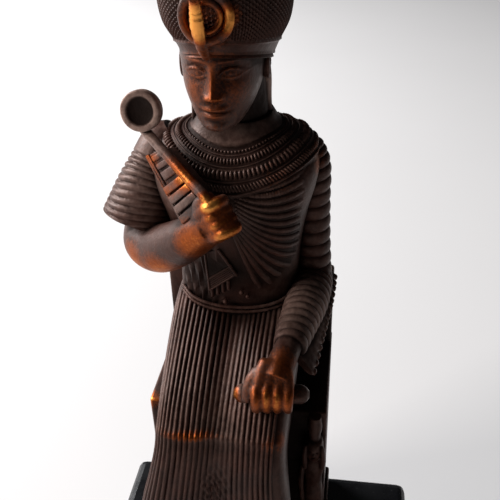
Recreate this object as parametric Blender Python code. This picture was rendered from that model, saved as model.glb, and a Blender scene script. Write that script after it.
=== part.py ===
"""A seated king in cast bronze on a low-backed block throne, and the separate black plinth that carries it.

The figure is free form. Its pose, proportions and carving are written in hands: 155 hands make its height.
X runs to the viewer's right, Y to the back and Z up. Hands are counted from the throne's back and its underside.
"""

import bpy
import bmesh
import numpy as np

# Sizes in metres
FIGURE_HEIGHT = 0.207
PLINTH_WIDTH = 0.105
PLINTH_DEPTH = 0.105
PLINTH_HEIGHT = 0.018
PLINTH_EDGE_RADIUS = 0.003
PLINTH_EDGE_SEGMENTS = 3
BACK_MARGIN = 0.0015
FIGURE_OFFSET_X = -0.004
SEAT_GAP = 0.0003

FLAT_ANGLE = 0.01
HANDS_HIGH = 155.0
HAND = FIGURE_HEIGHT / HANDS_HIGH
FIGURE_PLACE = np.array((FIGURE_OFFSET_X, PLINTH_DEPTH / 2 - BACK_MARGIN, PLINTH_HEIGHT + SEAT_GAP))

# Throne and the low base under it, in hands
BASE_HALF_WIDTH = 20.5
BASE_DEPTH = 68.0
BASE_HEIGHT = 5.0
THRONE_HALF_WIDTH = 19.5
SEAT_DEPTH = 29.0
SEAT_HEIGHT = 55.0
BACKREST_DEPTH = 5.0
BACKREST_HEIGHT = 74.5
THRONE_EDGE = 0.7
BASE_LEDGE = 0.3
BACKREST_INSET = 0.15
LET_IN = 2.0
SINK = 0.6

# Robe from the waist over the lap to the feet. Each station: front line y, z, hinge line y, z, half width, shift in x
ROBE = ((-4, 79, -4, 52, 13.6, 0), (-13, 80.2, -13, 52, 13.7, 0), (-22, 79.5, -20, 52, 13.6, 0),
        (-30, 77, -25, 52, 13.3, 0), (-38, 74, -27.5, 52, 12.9, 0), (-44, 71.2, -28, 51.5, 12.6, 0),
        (-48.5, 67.6, -28, 51, 12.4, -0.1), (-51, 63, -28, 50, 12.5, -0.3),
        (-52.2, 57, -28, 48, 13.3, -0.8), (-53.2, 48, -28, 43, 15, -1.3), (-54.6, 36, -28, 33, 16.4, -1.3),
        (-56, 22, -28, 20, 17.4, -1.2), (-57.5, 4.6, -28, 4.4, 18.2, -1))
ROBE_RINGS = 17
ROBE_HINGE_HALF_WIDTH = 12.0
ROBE_CORNER = 4.0
PLEATS = 22
PLEAT_START = 0.03
PLEAT_END = 0.87
PLEAT_DEPTH = 0.6
PLEAT_FADE_RINGS = 5
ROBE_PLAIN_COLUMNS = 4
THIGH_VALLEY = 1.5
THIGH_VALLEY_HALF_WIDTH = 3.6

# Torso rings: height, half width, front, back
TORSO = ((68, 13.4, -24.5, -4), (77, 13.0, -25.4, -4), (84, 12.3, -25.6, -4.5), (92, 12.8, -27.2, -4.8),
         (99, 14.0, -29.0, -5), (104, 15.3, -29.6, -5), (108, 15.8, -28.4, -5.5), (111.3, 14.6, -25.4, -6.5),
         (113.4, 12.0, -23.2, -7.6), (114.8, 7.6, -22, -8.6), (117, 5.8, -21.2, -9.2))
TORSO_RINGS = 13
TORSO_COLUMNS = 26
TORSO_POWER = 2.5

# Broad collar: two steps, each the torso made fuller by so much inside a sphere about the neck's root
COLLAR_CENTRE = (0, -15.5, 114.0)
COLLAR_STEPS = ((15.8, 0.7), (9.8, 1.3))
COLLAR_SPHERE = (13, 26)

# Folds of the shirt that fan out from a knot under the fist: end points across the chest, x, z
FAN_KNOT = (0.5, 96.5)
FAN_ENDS = ((12.4, 103.5), (12.6, 100.5), (12.4, 97.3), (12.2, 94), (11.9, 90.6), (11.3, 87), (9.6, 83.8), (6.6, 82))
FAN_RIDGE = 1.1
FAN_SUNK = 0.55

# Head and neck. Rings: height, half width, front, back
HEAD_X = -0.5
NECK = ((-0.1, -15, 111), (-0.2, -15.6, 116), (-0.4, -16.6, 125))
NECK_RADIUS = 6.3
HEAD = ((118.4, 2.4, -29.6, -21), (119.2, 3.7, -30.6, -17), (120.8, 4.9, -30.9, -13.5), (122.8, 5.9, -30.9, -11.5),
        (125, 6.6, -31.0, -10.6), (127.4, 6.9, -31.0, -10.2), (129.6, 7.0, -31.3, -10), (132, 7.0, -31.6, -10),
        (135, 6.6, -31, -11))
HEAD_RINGS = 17
HEAD_COLUMNS = 28
HEAD_POWER = 2.15
EYE_X = 2.9
EYE_Z = 128.4
BROW_RISE = 2.2
NOSE_TIP_Z = 125.0
CHEEK_X = 4.4
CHEEK_Z = 124.4
CHEEK_SIZE = 2.2
MOUTH_Z = 122.3
CHIN_Z = 118.9

# Crown rings, each on a plane through a front point and a back point: front y, z, back y, z, half width
CROWN = ((-32.5, 131.5, -9.0, 125.2, 7.5), (-33.4, 133.6, -7.4, 128, 8.9), (-35.0, 137, -5.2, 132.4, 10.3),
         (-35.9, 141.2, -4, 137.6, 10.9), (-35.3, 145.6, -4.4, 143, 10.6), (-32.8, 149.8, -6.8, 148.6, 9.1),
         (-28.8, 153.0, -11, 152.6, 6.5), (-24, 154.6, -16, 154.6, 3.2))
CROWN_RINGS = 11
CROWN_COLUMNS = 22
CROWN_POWER = 2.2
CROWN_X = 0.1

# Cobra on the crown's front: hood path with radii, and the loop of its body
COBRA_HOOD = ((-0.9, -33.2, 131.6, 0.8), (-0.9, -36.2, 134.6, 1.3), (-0.9, -37.9, 138.2, 1.6),
              (-0.9, -38.0, 140.6, 1.2), (-0.9, -39.4, 141.6, 0.8))
COBRA_LOOP_CENTRE = (-0.4, -36.0, 138.4)
COBRA_LOOP_RADIUS = 3.5
COBRA_LOOP_THICKNESS = 0.75
COBRA_LOOP_COLUMNS = (16, 5)
EAR = ((6.8, -19.6, 128.9, 0.6), (7.6, -19.3, 127.4, 1.0), (7.4, -19.7, 125.4, 0.9), (6.8, -20.2, 123.8, 0.5))

# Arms: path points with radius
LEFT_UPPER_ARM = ((12.7, -14, 110.3, 3.4), (13.7, -14, 106, 4.2), (14.2, -13.6, 98, 3.9), (14.5, -13.2, 89, 3.9),
                  (14.9, -13.6, 80.5, 4.1))
LEFT_FOREARM = ((15.2, -11.5, 80, 3.6), (15.0, -16, 79.6, 4.3), (14.2, -23, 79.3, 4.4), (12.9, -30, 79, 3.9),
                (11.6, -37.2, 78.6, 3.3))
SLEEVE_RIDGES = 12
SLEEVE_RIDGE_DEPTH = 0.55
ARM_COLUMNS = 9
RIGHT_FOREARM = ((-18.6, -18.5, 94.5, 4.2), (-18.0, -21.5, 91.4, 4.7), (-13.8, -26, 92.6, 4.8), (-8, -30.8, 97.4, 4.2),
                 (-3.4, -34.0, 101.8, 3.5), (-1.4, -35.2, 103.6, 3.3))
RIGHT_SLEEVE = ((-11.5, -14, 111.6, 3.6, 4.5), (-13.4, -14.6, 109.4, 5.4, 6.4), (-15.2, -16, 106, 5.9, 6.8),
                (-17.2, -18, 101.2, 6.9, 7.1), (-19.1, -19.7, 95.3, 8.1, 7.5))
RIGHT_SLEEVE_PLEATS = 7
RIGHT_SLEEVE_PLEAT_START = 0.38
RIGHT_SLEEVE_PLEAT_DEPTH = 0.6
RIGHT_SLEEVE_COLUMNS = 16

# Hooked sceptre held across the chest, and the barred panel beside its shaft
SCEPTRE_TOP = (-14.4, -25.4, 116.2)
SCEPTRE_GRIP = (-1.2, -37.2, 108.9)
SCEPTRE_RADIUS = 0.95
RING_CENTRE = (-14.9, -25.2, 120.1)
RING_FACING = (-0.05, -1.0, 0.22)
RING_RADIUS = 3.6
RING_RIM = 0.75
RING_THICKNESS = 2.6
RING_SUNK = 0.9
PANEL_CORNERS = ((-15.0, -25.0, 111.4), (-11.6, -27.4, 114.0), (-1.6, -36.6, 108.0), (-6.6, -34.6, 102.6))
PANEL_THICKNESS = 3.2
PANEL_BARS = 4
PANEL_BAR_START = 0.46
PANEL_BAR_SHARE = 0.62
PANEL_BAR_LENGTH = 0.9
PANEL_BAR_RISE = 0.6
PANEL_BAR_ROOT = 0.8

# Fists
RIGHT_FIST_PLACE = (0.9, -36.2, 106.0)
LEFT_FIST_PLACE = (9.7, -41.0, 76.6)
# Out of the palm, down the palm, radius; a finger's radius is a share of FINGER_RADIUS
PALM = ((-2.2, -3.6, 2.6), (-1.4, -1.2, 3.3), (-0.6, 1.0, 3.2), (-0.6, 2.6, 2.4))
FINGER = ((0.4, -0.8, 1.0), (2.2, 0.4, 1.0), (2.6, 2.6, 1.0), (1.2, 4.3, 0.9), (-0.6, 4.0, 0.8))
FINGER_RADIUS = 1.15
FINGER_PITCH = 1.95
FINGERS = 4
LONGEST_FINGER = 1.2
KNUCKLE_DROP = 0.35
ROLL_LEFT = (3.6, -43.4, 73.2)
ROLL_RIGHT = (15.0, -42.2, 72.6)
ROLL_RADIUS = 1.8

# Small standing queen in relief on the throne's front: height, half width, depth out of the throne
QUEEN_X = 17.0
QUEEN = ((5, 2.0, 2.4), (20, 2.1, 2.4), (30, 2.3, 2.8), (35, 1.9, 2.5), (39, 2.3, 3.0), (41.3, 2.7, 2.8),
         (42.6, 1.5, 2.4), (43.5, 1.5, 3.4), (46.2, 2.0, 4.0), (48.2, 1.8, 3.5), (49, 1.3, 2.4), (51.5, 1.6, 2.2),
         (54.4, 1.3, 1.8))
QUEEN_COLUMNS = 8
FOOT_X = 6.6
FOOT = ((-52, 2.4, 6.0), (-57, 2.6, 5.6), (-61, 3.0, 4.4), (-64.4, 2.9, 3.4), (-66.4, 1.8, 2.4))

# Sash end that hangs under the fist, and the belt's knots
SASH = ((-4.8, -26.3, 91.6), (-1.6, -27.2, 93.4), (1.0, -26.0, 84.6), (-4.8, -25.8, 83.6))
SASH_THICKNESS = 1.6
SASH_RISE = 0.5
BELT_Z = 81.2
BELT_RADIUS = 0.9
BELT_HALF_WIDTH = 11.5

BRONZE = (0.055, 0.033, 0.024)
BLACK_STONE = (0.012, 0.012, 0.013)


def spline(rows, count):
    """Rows resampled to count points along a smooth curve through them."""
    rows = np.asarray(rows, float)
    padded = np.vstack((2 * rows[0] - rows[1], rows, 2 * rows[-1] - rows[-2]))
    place = np.linspace(0, len(rows) - 1, count)
    first = np.minimum(place.astype(int), len(rows) - 2)
    t = (place - first)[:, None]
    a, b, c, d = (padded[first + k] for k in range(4))
    return 0.5 * (2 * b + (c - a) * t + (2 * a - 5 * b + 4 * c - d) * t**2 + (3 * b - a - 3 * c + d) * t**3)


def unit(vector):
    vector = np.asarray(vector, float)
    return vector / np.linalg.norm(vector)


def solid(name, points, faces):
    """A mesh object from points in hands, faces turned outwards."""
    mesh = bpy.data.meshes.new(name)
    mesh.from_pydata((np.asarray(points) * HAND + FIGURE_PLACE).tolist(), [], faces)
    shell = bmesh.new()
    shell.from_mesh(mesh)
    bmesh.ops.triangulate(shell, faces=shell.faces)
    bmesh.ops.recalc_face_normals(shell, faces=shell.faces)
    if shell.calc_volume(signed=True) < 0:
        bmesh.ops.reverse_faces(shell, faces=shell.faces)
    shell.to_mesh(mesh)
    shell.free()
    made = bpy.data.objects.new(name, mesh)
    bpy.context.scene.collection.objects.link(made)
    return made


def loft(name, rings):
    """A closed solid through rings of equally many points, with a fan on each end."""
    rings = np.asarray(rings, float)
    count, around = rings.shape[:2]
    points = np.vstack((rings.reshape(-1, 3), rings[0].mean(0), rings[-1].mean(0)))
    faces = []
    for i in range(count - 1):
        for j in range(around):
            k = (j + 1) % around
            faces.append((i * around + j, i * around + k, (i + 1) * around + k, (i + 1) * around + j))
    last = (count - 1) * around
    for j in range(around):
        k = (j + 1) % around
        faces.append((count * around, k, j))
        faces.append((count * around + 1, last + j, last + k))
    return solid(name, points, faces)


def oval(columns, power, start=0.0):
    """Cosine-like and sine-like shares round a superellipse."""
    angle = start + np.arange(columns) * 2 * np.pi / columns
    c, s = np.cos(angle), np.sin(angle)
    return np.sign(c) * abs(c) ** (2 / power), np.sign(s) * abs(s) ** (2 / power)


def tube(name, path, columns, count, relief=None, flat=1.0):
    """A round bar along path points with radii. relief gives a radius change at each share of its length."""
    rows = spline(path, count)
    centre, radius = rows[:, :3], rows[:, 3].copy()
    if relief is not None:
        radius += relief(np.linspace(0, 1, count))
    along = np.gradient(centre, axis=0)
    along /= np.linalg.norm(along, axis=1)[:, None]
    side = unit(np.cross(along[0], (0.3, 0.2, 1.0)))
    angle = np.arange(columns) * 2 * np.pi / columns
    rings = []
    for i in range(count):
        side = unit(side - along[i] * (side @ along[i]))
        other = np.cross(along[i], side)
        rings.append(centre[i] + radius[i] * (np.outer(np.cos(angle), side) + flat * np.outer(np.sin(angle), other)))
    return loft(name, rings)


def box(name, low, high, edge=0.0):
    """A block between two corners, its edges cut back by edge."""
    low, high = np.asarray(low, float), np.asarray(high, float)
    corners = np.array([(x, y, z) for x in (0, 1) for y in (0, 1) for z in (0, 1)])
    faces = ((0, 1, 3, 2), (4, 6, 7, 5), (0, 4, 5, 1), (2, 3, 7, 6), (0, 2, 6, 4), (1, 5, 7, 3))
    made = solid(name, low + corners * (high - low), faces)
    if edge:
        bevel(made, edge * HAND, 1)
    return made


def slab(name, corners, thickness, rise=0.0):
    """A plate whose four outer corners are given; it reaches thickness inwards, behind them."""
    corners = np.asarray(corners, float)
    normal = unit(np.cross(corners[1] - corners[0], corners[3] - corners[0]))
    if normal[1] > 0:
        normal = -normal
    points = np.vstack((corners + normal * rise, corners - normal * thickness))
    faces = ((0, 1, 2, 3), (7, 6, 5, 4), (0, 4, 5, 1), (1, 5, 6, 2), (2, 6, 7, 3), (3, 7, 4, 0))
    return solid(name, points, faces)


def bevel(made, width, segments):
    """Round the edges that stand sharper than half a right angle."""
    shell = bmesh.new()
    shell.from_mesh(made.data)
    bmesh.ops.dissolve_limit(shell, angle_limit=0.02, verts=shell.verts, edges=shell.edges)
    sharp = [e for e in shell.edges if e.calc_face_angle(0) > 0.8]
    bmesh.ops.bevel(shell, geom=sharp, offset=width, segments=segments, profile=0.5, affect="EDGES")
    shell.to_mesh(made.data)
    shell.free()


def merge_flat(made):
    """Faces that lie flat together become one, then triangles again."""
    shell = bmesh.new()
    shell.from_mesh(made.data)
    bmesh.ops.dissolve_limit(shell, angle_limit=FLAT_ANGLE, verts=shell.verts, edges=shell.edges)
    bmesh.ops.triangulate(shell, faces=shell.faces)
    shell.to_mesh(made.data)
    shell.free()


def combine(target, other, operation):
    """The Boolean of two solids, left in target; other goes."""
    change = target.modifiers.new("join", "BOOLEAN")
    change.operation = operation
    change.object = other
    change.solver = "MANIFOLD"
    bpy.context.view_layer.update()
    result = bpy.data.meshes.new_from_object(target.evaluated_get(bpy.context.evaluated_depsgraph_get()))
    target.modifiers.clear()
    target.data = result
    bpy.data.objects.remove(other)


def material(name, colour, roughness, metallic):
    made = bpy.data.materials.new(name)
    made.use_nodes = True
    shader = made.node_tree.nodes["Principled BSDF"]
    shader.inputs["Base Color"].default_value = (*colour, 1)
    shader.inputs["Roughness"].default_value = roughness
    shader.inputs["Metallic"].default_value = metallic
    made.diffuse_color = (*colour, 1)
    return made


def round_top(half_width, foot_half_width, height, count):
    """A robe section's outline from the foot on the viewer's left over the rounded top to the right, evenly spaced."""
    arc = np.linspace(0, np.pi / 2, 9)
    corner = min(ROBE_CORNER, height * 0.8)
    left = np.column_stack((-half_width + corner - corner * np.cos(arc), height - corner + corner * np.sin(arc)))
    right = left[::-1] * (-1, 1)
    outline = np.vstack((left, right))
    step = np.concatenate(((0,), np.cumsum(np.linalg.norm(np.diff(outline, axis=0), axis=1))))
    place = np.linspace(0, step[-1], count)
    return np.column_stack([np.interp(place, step, outline[:, k]) for k in range(2)])


def robe():
    """Robe over lap and shins: pleats run from the waist over the knees to the hem."""
    pleated = np.linspace(PLEAT_START, PLEAT_END, 2 * PLEATS + 1)
    plain = np.linspace(PLEAT_END, 1, ROBE_PLAIN_COLUMNS)[1:]
    share = np.concatenate(((0,), pleated, plain))
    groove = np.zeros(len(share))
    groove[1 : 2 * PLEATS + 2 : 2] = 1
    rings = []
    stations = spline(ROBE, ROBE_RINGS)
    for index, (front_y, front_z, hinge_y, hinge_z, half_width, shift) in enumerate(stations):
        deepening = min(index / PLEAT_FADE_RINGS, 1)
        front, hinge = np.array((front_y, front_z)), np.array((hinge_y, hinge_z))
        height = np.linalg.norm(front - hinge)
        out = (front - hinge) / height
        dense = round_top(half_width, ROBE_HINGE_HALF_WIDTH, height, 201)
        top = np.column_stack([np.interp(share, np.linspace(0, 1, 201), dense[:, k]) for k in range(2)])
        turn = np.gradient(top, axis=0)
        normal = np.column_stack((-turn[:, 1], turn[:, 0]))
        normal /= np.linalg.norm(normal, axis=1)[:, None]
        top -= normal * (groove * PLEAT_DEPTH * deepening)[:, None]
        top[:, 1] -= THIGH_VALLEY * np.exp(-((top[:, 0] / THIGH_VALLEY_HALF_WIDTH) ** 2))
        feet = np.array(((ROBE_HINGE_HALF_WIDTH, 0), (-ROBE_HINGE_HALF_WIDTH, 0)))
        section = np.vstack((top, feet))
        rings.append([(shift + x, *(hinge + out * v)) for x, v in section])
    return loft("robe", rings)


def torso_rings(fuller=0.0):
    c, s = oval(TORSO_COLUMNS, TORSO_POWER, np.pi / TORSO_COLUMNS)
    rings = []
    for z, half_width, front, back in spline(TORSO, TORSO_RINGS):
        middle, deep = (front + back) / 2, (back - front) / 2
        height = np.full(TORSO_COLUMNS, z)
        rings.append(np.column_stack((c * (half_width + fuller), middle + s * (deep + fuller), height)))
    return rings


def chest_front(x, z):
    """Where the torso's front surface lies at x and z."""
    rows = np.array(TORSO)
    half_width, front, back = (np.interp(z, rows[:, 0], rows[:, k]) for k in (1, 2, 3))
    share = (1 - min(abs(x) / half_width, 0.98) ** TORSO_POWER) ** (1 / TORSO_POWER)
    return (front + back) / 2 - share * (back - front) / 2


def collar(radius, rise):
    """One step of the broad collar."""
    shell = loft("collar", torso_rings(rise))
    latitudes, longitudes = COLLAR_SPHERE
    rings = []
    for a in np.linspace(0.06, np.pi - 0.06, latitudes):
        b = np.arange(longitudes) * 2 * np.pi / longitudes
        rings.append(np.array(COLLAR_CENTRE) + radius * np.column_stack(
            (np.sin(a) * np.cos(b), np.sin(a) * np.sin(b), np.full(longitudes, np.cos(a)))))
    combine(shell, loft("collar_edge", rings), "INTERSECT")
    return shell


def fan_fold(end):
    """One fold of the shirt from the knot to its end at the side of the chest."""
    path = []
    for t in np.linspace(0, 1, 6):
        x = FAN_KNOT[0] + t * (end[0] - FAN_KNOT[0])
        z = FAN_KNOT[1] + t * (end[1] - FAN_KNOT[1]) - 1.2 * np.sin(np.pi * t)
        path.append((x, chest_front(x, z) + FAN_SUNK, z, FAN_RIDGE * (0.55 + 0.45 * t)))
    return tube("fold", path, 4, 6)


def face_relief(x, z):
    """How far a calm, even face stands out of the plain head at x from its middle and at height z."""
    def bump(cx, cz, wx, wz, rise):
        return rise * np.exp(-(((x - cx) / wx) ** 2) - ((z - cz) / wz) ** 2)

    bridge = np.clip((EYE_Z + 1.6 - z) / (EYE_Z + 1.6 - NOSE_TIP_Z), 0, 1)
    nose = (0.5 + 1.9 * bridge) * np.exp(-((x / (0.85 + 0.6 * bridge)) ** 2)) * (z > NOSE_TIP_Z - 0.9)
    nose *= np.clip((EYE_Z + 3 - z) / 2, 0, 1)
    out = nose + bump(0, MOUTH_Z + 0.55, 2.0, 0.5, 0.75) + bump(0, MOUTH_Z - 0.65, 1.7, 0.5, 0.75)
    out += bump(0, CHIN_Z, 1.9, 1.1, 0.6)
    for side in (-1, 1):
        out += bump(side * EYE_X, EYE_Z, 2.1, 1.3, -0.75) + bump(side * EYE_X, EYE_Z, 1.2, 0.6, 0.7)
        out += bump(side * EYE_X, EYE_Z + BROW_RISE, 2.3, 0.45, 0.4)
        out += bump(side * CHEEK_X, CHEEK_Z, CHEEK_SIZE, CHEEK_SIZE, 0.35)
    return out


def head():
    # Columns stand closer together across the face than round the back.
    angle = np.linspace(0, 2 * np.pi, HEAD_COLUMNS, endpoint=False)
    angle = angle + 0.42 * np.sin(angle)
    across, deep_share = np.sin(angle), -np.cos(angle)
    power = 2 / HEAD_POWER
    across = np.sign(across) * abs(across) ** power
    deep_share = np.sign(deep_share) * abs(deep_share) ** power
    rings = []
    for z, half_width, front, back in spline(HEAD, HEAD_RINGS):
        middle, deep = (front + back) / 2, (back - front) / 2
        x = across * half_width
        y = middle + deep_share * deep
        facing = np.clip(-(y - middle) / deep, 0, 1) ** 2
        y = y - face_relief(x, np.full(len(x), z)) * facing
        rings.append(np.column_stack((HEAD_X + x, y, np.full(len(x), z))))
    return loft("head", rings)


def crown():
    c, s = oval(CROWN_COLUMNS, CROWN_POWER)
    rings = []
    for front_y, front_z, back_y, back_z, half_width in spline(CROWN, CROWN_RINGS):
        front, back = np.array((front_y, front_z)), np.array((back_y, back_z))
        middle, deep = (front + back) / 2, (back - front) / 2
        rings.append([(CROWN_X + half_width * a, *(middle + deep * b)) for a, b in zip(c, s)])
    return loft("crown", rings)


def cobra_loop():
    """The cobra's body, coiled once round its hood: a closed ring."""
    angle = np.linspace(0, 2 * np.pi, COBRA_LOOP_COLUMNS[0], endpoint=False)
    small = np.linspace(0, 2 * np.pi, COBRA_LOOP_COLUMNS[1], endpoint=False)
    centre = np.array(COBRA_LOOP_CENTRE)
    points, faces = [], []
    for i, a in enumerate(angle):
        out = np.array((np.cos(a), 0, np.sin(a)))
        spot = centre + out * COBRA_LOOP_RADIUS + np.array((0, 0.55 * np.cos(a) ** 2, 0))
        for j, b in enumerate(small):
            points.append(spot + COBRA_LOOP_THICKNESS * (out * np.cos(b) + np.array((0, 1, 0)) * np.sin(b)))
            k, n = (i + 1) % len(angle), (j + 1) % len(small)
            around = len(small)
            faces.append((i * around + j, i * around + n, k * around + n, k * around + j))
    return solid("cobra_loop", points, faces)


def ridged(depth, ridges):
    """A radius change that runs up and down ridges times, ring by ring."""
    def relief(share):
        return -depth * (1 + np.cos(share * ridges * 2 * np.pi)) / 2
    return relief


def sleeved_arm(name, path):
    return tube(name, path, ARM_COLUMNS, 2 * SLEEVE_RIDGES + 1, ridged(SLEEVE_RIDGE_DEPTH, SLEEVE_RIDGES))


def right_sleeve():
    """The short flared sleeve, pleated round its lower half."""
    pleated = np.linspace(RIGHT_SLEEVE_PLEAT_START, 1, 2 * RIGHT_SLEEVE_PLEATS + 1)
    share = np.concatenate((np.linspace(0, RIGHT_SLEEVE_PLEAT_START, 5)[:-1], pleated))
    rows = spline(RIGHT_SLEEVE, 81)
    rows = np.column_stack([np.interp(share, np.linspace(0, 1, 81), rows[:, k]) for k in range(5)])
    groove = np.zeros(len(share))
    groove[4::2] = RIGHT_SLEEVE_PLEAT_DEPTH
    along = np.gradient(rows[:, :3], axis=0)
    angle = np.arange(RIGHT_SLEEVE_COLUMNS) * 2 * np.pi / RIGHT_SLEEVE_COLUMNS
    rings = []
    for row, way, cut in zip(rows, along, groove):
        deep = unit(np.cross(unit(way), (1, 0, 0)))
        wide = np.cross(deep, unit(way))
        across = np.outer((row[3] - cut) * np.cos(angle), wide)
        rings.append(row[:3] + across + np.outer((row[4] - cut) * np.sin(angle), deep))
    return loft("right_sleeve", rings)


def disc(name, centre, facing, radius, front, back, columns=16):
    """A round plate from front to back along its axis."""
    axis = unit(facing)
    side = unit(np.cross(axis, (0, 0, 1)))
    up = np.cross(side, axis)
    angle = np.arange(columns) * 2 * np.pi / columns
    ring = radius * (np.outer(np.cos(angle), side) + np.outer(np.sin(angle), up))
    return loft(name, [np.array(centre) + axis * front + ring, np.array(centre) + axis * back + ring])


def sceptre():
    """Ring head with a sunk face, neck, and the shaft down into the fist."""
    half = RING_THICKNESS / 2
    ring = disc("sceptre", RING_CENTRE, RING_FACING, RING_RADIUS, half, -half)
    sunk = disc("sunk", RING_CENTRE, RING_FACING, RING_RADIUS - RING_RIM, half + RING_SUNK, half - RING_SUNK)
    combine(ring, sunk, "DIFFERENCE")
    top, grip = np.array(SCEPTRE_TOP), np.array(SCEPTRE_GRIP)
    path = [(*(np.array(RING_CENTRE) - (0, 0, RING_RADIUS - RING_RIM / 2)), SCEPTRE_RADIUS)]
    path += [(*(top + (grip - top) * t), SCEPTRE_RADIUS) for t in (0, 0.35, 0.7, 1.05)]
    combine(ring, tube("shaft", path, 8, 7), "UNION")
    return ring


def panel():
    """Barred panel along the shaft, lying on the upper arm and chest."""
    corners = np.array(PANEL_CORNERS)
    made = slab("panel", corners, PANEL_THICKNESS)
    step = (1 - PANEL_BAR_START) / PANEL_BARS
    for k in range(PANEL_BARS):
        low, high = PANEL_BAR_START + k * step, PANEL_BAR_START + (k + PANEL_BAR_SHARE) * step
        edge = [corners[0] + (corners[3] - corners[0]) * t for t in (low, high)]
        far = [corners[1] + (corners[2] - corners[1]) * t for t in (high, low)]
        inner = [edge[0], far[1], far[0], edge[1]]
        middle = np.mean(inner, axis=0)
        outline = [middle + (p - middle) * PANEL_BAR_LENGTH for p in inner]
        bar = slab("bar", outline, PANEL_BAR_ROOT, PANEL_BAR_RISE)
        combine(made, bar, "UNION")
    return made


def belt():
    """A round band across the belly, just over the robe's top."""
    path = [(x, chest_front(x, BELT_Z), BELT_Z - 0.01 * x**2, BELT_RADIUS)
            for x in np.linspace(-BELT_HALF_WIDTH, BELT_HALF_WIDTH, 7)]
    return tube("belt", path, 6, 9)


def fist(name, place, across, out, down):
    """A closed hand: a palm and curled fingers side by side along across."""
    across, out, down = unit(across), unit(out), unit(down)
    place = np.array(place)
    made = tube(name, [(*(place + out * b + down * c), radius) for b, c, radius in PALM], 8, 5)
    for k in range(FINGERS):
        root = place + across * (k - (FINGERS - 1) / 2) * FINGER_PITCH
        drop = KNUCKLE_DROP * abs(k - LONGEST_FINGER)
        path = [(*(root + out * b + down * (c + drop * (0 < i < 3))), FINGER_RADIUS * share)
                for i, (b, c, share) in enumerate(FINGER)]
        combine(made, tube("finger", path, 6, 5), "UNION")
    return made


def queen():
    """Small standing queen with a tall crown, in relief on the throne's front beside the king's leg."""
    c, s = oval(QUEEN_COLUMNS, 2.2)
    rings = []
    for z, half_width, depth in QUEEN:
        middle = -SEAT_DEPTH - depth / 2 + SINK
        y = middle + s * (depth / 2 + SINK)
        rings.append(np.column_stack((QUEEN_X + c * half_width, y, np.full(QUEEN_COLUMNS, z))))
    return loft("queen", rings)


def foot(side):
    c, s = oval(10, 2.8)
    rings = []
    for y, half_width, height in FOOT:
        middle = BASE_HEIGHT - SINK + height / 2
        rings.append(np.column_stack((side * FOOT_X + c * half_width, np.full(10, y), middle + s * height / 2)))
    return loft("foot", rings)


def throne():
    """Low base, seat block and low backrest, each let into the one below it."""
    base = box("figure", (-BASE_HALF_WIDTH, -BASE_DEPTH, 0), (BASE_HALF_WIDTH, 0, BASE_HEIGHT), THRONE_EDGE)
    seat = box("seat", (-THRONE_HALF_WIDTH, -SEAT_DEPTH, BASE_HEIGHT - LET_IN),
               (THRONE_HALF_WIDTH, -BASE_LEDGE, SEAT_HEIGHT), THRONE_EDGE)
    rest_half_width = THRONE_HALF_WIDTH - BACKREST_INSET
    rest = box("backrest", (-rest_half_width, -BACKREST_DEPTH, SEAT_HEIGHT - LET_IN),
               (rest_half_width, -BASE_LEDGE - BACKREST_INSET, BACKREST_HEIGHT), THRONE_EDGE)
    combine(base, seat, "UNION")
    combine(base, rest, "UNION")
    return base


def figure():
    made = throne()
    pieces = [robe(), loft("torso", torso_rings()), tube("neck", [(*p, NECK_RADIUS) for p in NECK], 16, 4), head()]
    pieces += [collar(radius, rise) for radius, rise in COLLAR_STEPS]
    pieces += [crown(), tube("cobra_hood", COBRA_HOOD, 8, 8), cobra_loop()]
    for side in (-1, 1):
        pieces.append(tube("ear", [(HEAD_X + side * x, y, z, r) for x, y, z, r in EAR], 6, 5))
    pieces += [sleeved_arm("left_upper_arm", LEFT_UPPER_ARM), sleeved_arm("left_forearm", LEFT_FOREARM)]
    pieces += [tube("right_forearm", RIGHT_FOREARM, 14, 10), right_sleeve(), sceptre(), panel()]
    pieces += [fist("right_fist", RIGHT_FIST_PLACE, (0.55, -0.1, -0.85), (0.7, -0.7, 0.5), (-0.3, -0.8, -0.3)),
               fist("left_fist", LEFT_FIST_PLACE, (1, 0.1, 0), (0, -0.9, 0.35), (0, -0.35, -0.94))]
    pieces.append(tube("roll", [(*ROLL_LEFT, ROLL_RADIUS), (*ROLL_RIGHT, ROLL_RADIUS)], 10, 2))
    pieces += [queen(), foot(-1), foot(1), slab("sash", SASH, SASH_THICKNESS, SASH_RISE), belt()]
    pieces += [fan_fold(end) for end in FAN_ENDS]
    for piece in pieces:
        combine(made, piece, "UNION")
    merge_flat(made)
    made.data.materials.clear()
    made.data.materials.append(material("bronze", BRONZE, 0.38, 0.9))
    made.data.shade_smooth()
    made.data.set_sharp_from_angle(angle=0.6)
    return made


def plinth():
    """Black block with rounded edges; the origin is the middle of its underside."""
    shell = bmesh.new()
    bmesh.ops.create_cube(shell, size=1)
    bmesh.ops.translate(shell, vec=(0, 0, 0.5), verts=shell.verts)
    bmesh.ops.scale(shell, vec=(PLINTH_WIDTH, PLINTH_DEPTH, PLINTH_HEIGHT), verts=shell.verts)
    mesh = bpy.data.meshes.new("plinth")
    shell.to_mesh(mesh)
    shell.free()
    made = bpy.data.objects.new("plinth", mesh)
    bpy.context.scene.collection.objects.link(made)
    bevel(made, PLINTH_EDGE_RADIUS, PLINTH_EDGE_SEGMENTS)
    made.data.materials.append(material("black stone", BLACK_STONE, 0.3, 0.0))
    return made


for leftover in list(bpy.data.objects):
    bpy.data.objects.remove(leftover)
figure()
plinth()
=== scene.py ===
"""Looks for the seated king: one fine bronze casting in place of the faceted solid, and the black plinth.

The casting is worked out in hands, as its solid is: 155 hands make its height. X runs to the viewer's right,
Y to the back and Z up, counted from the throne's back and its underside.
"""

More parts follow.
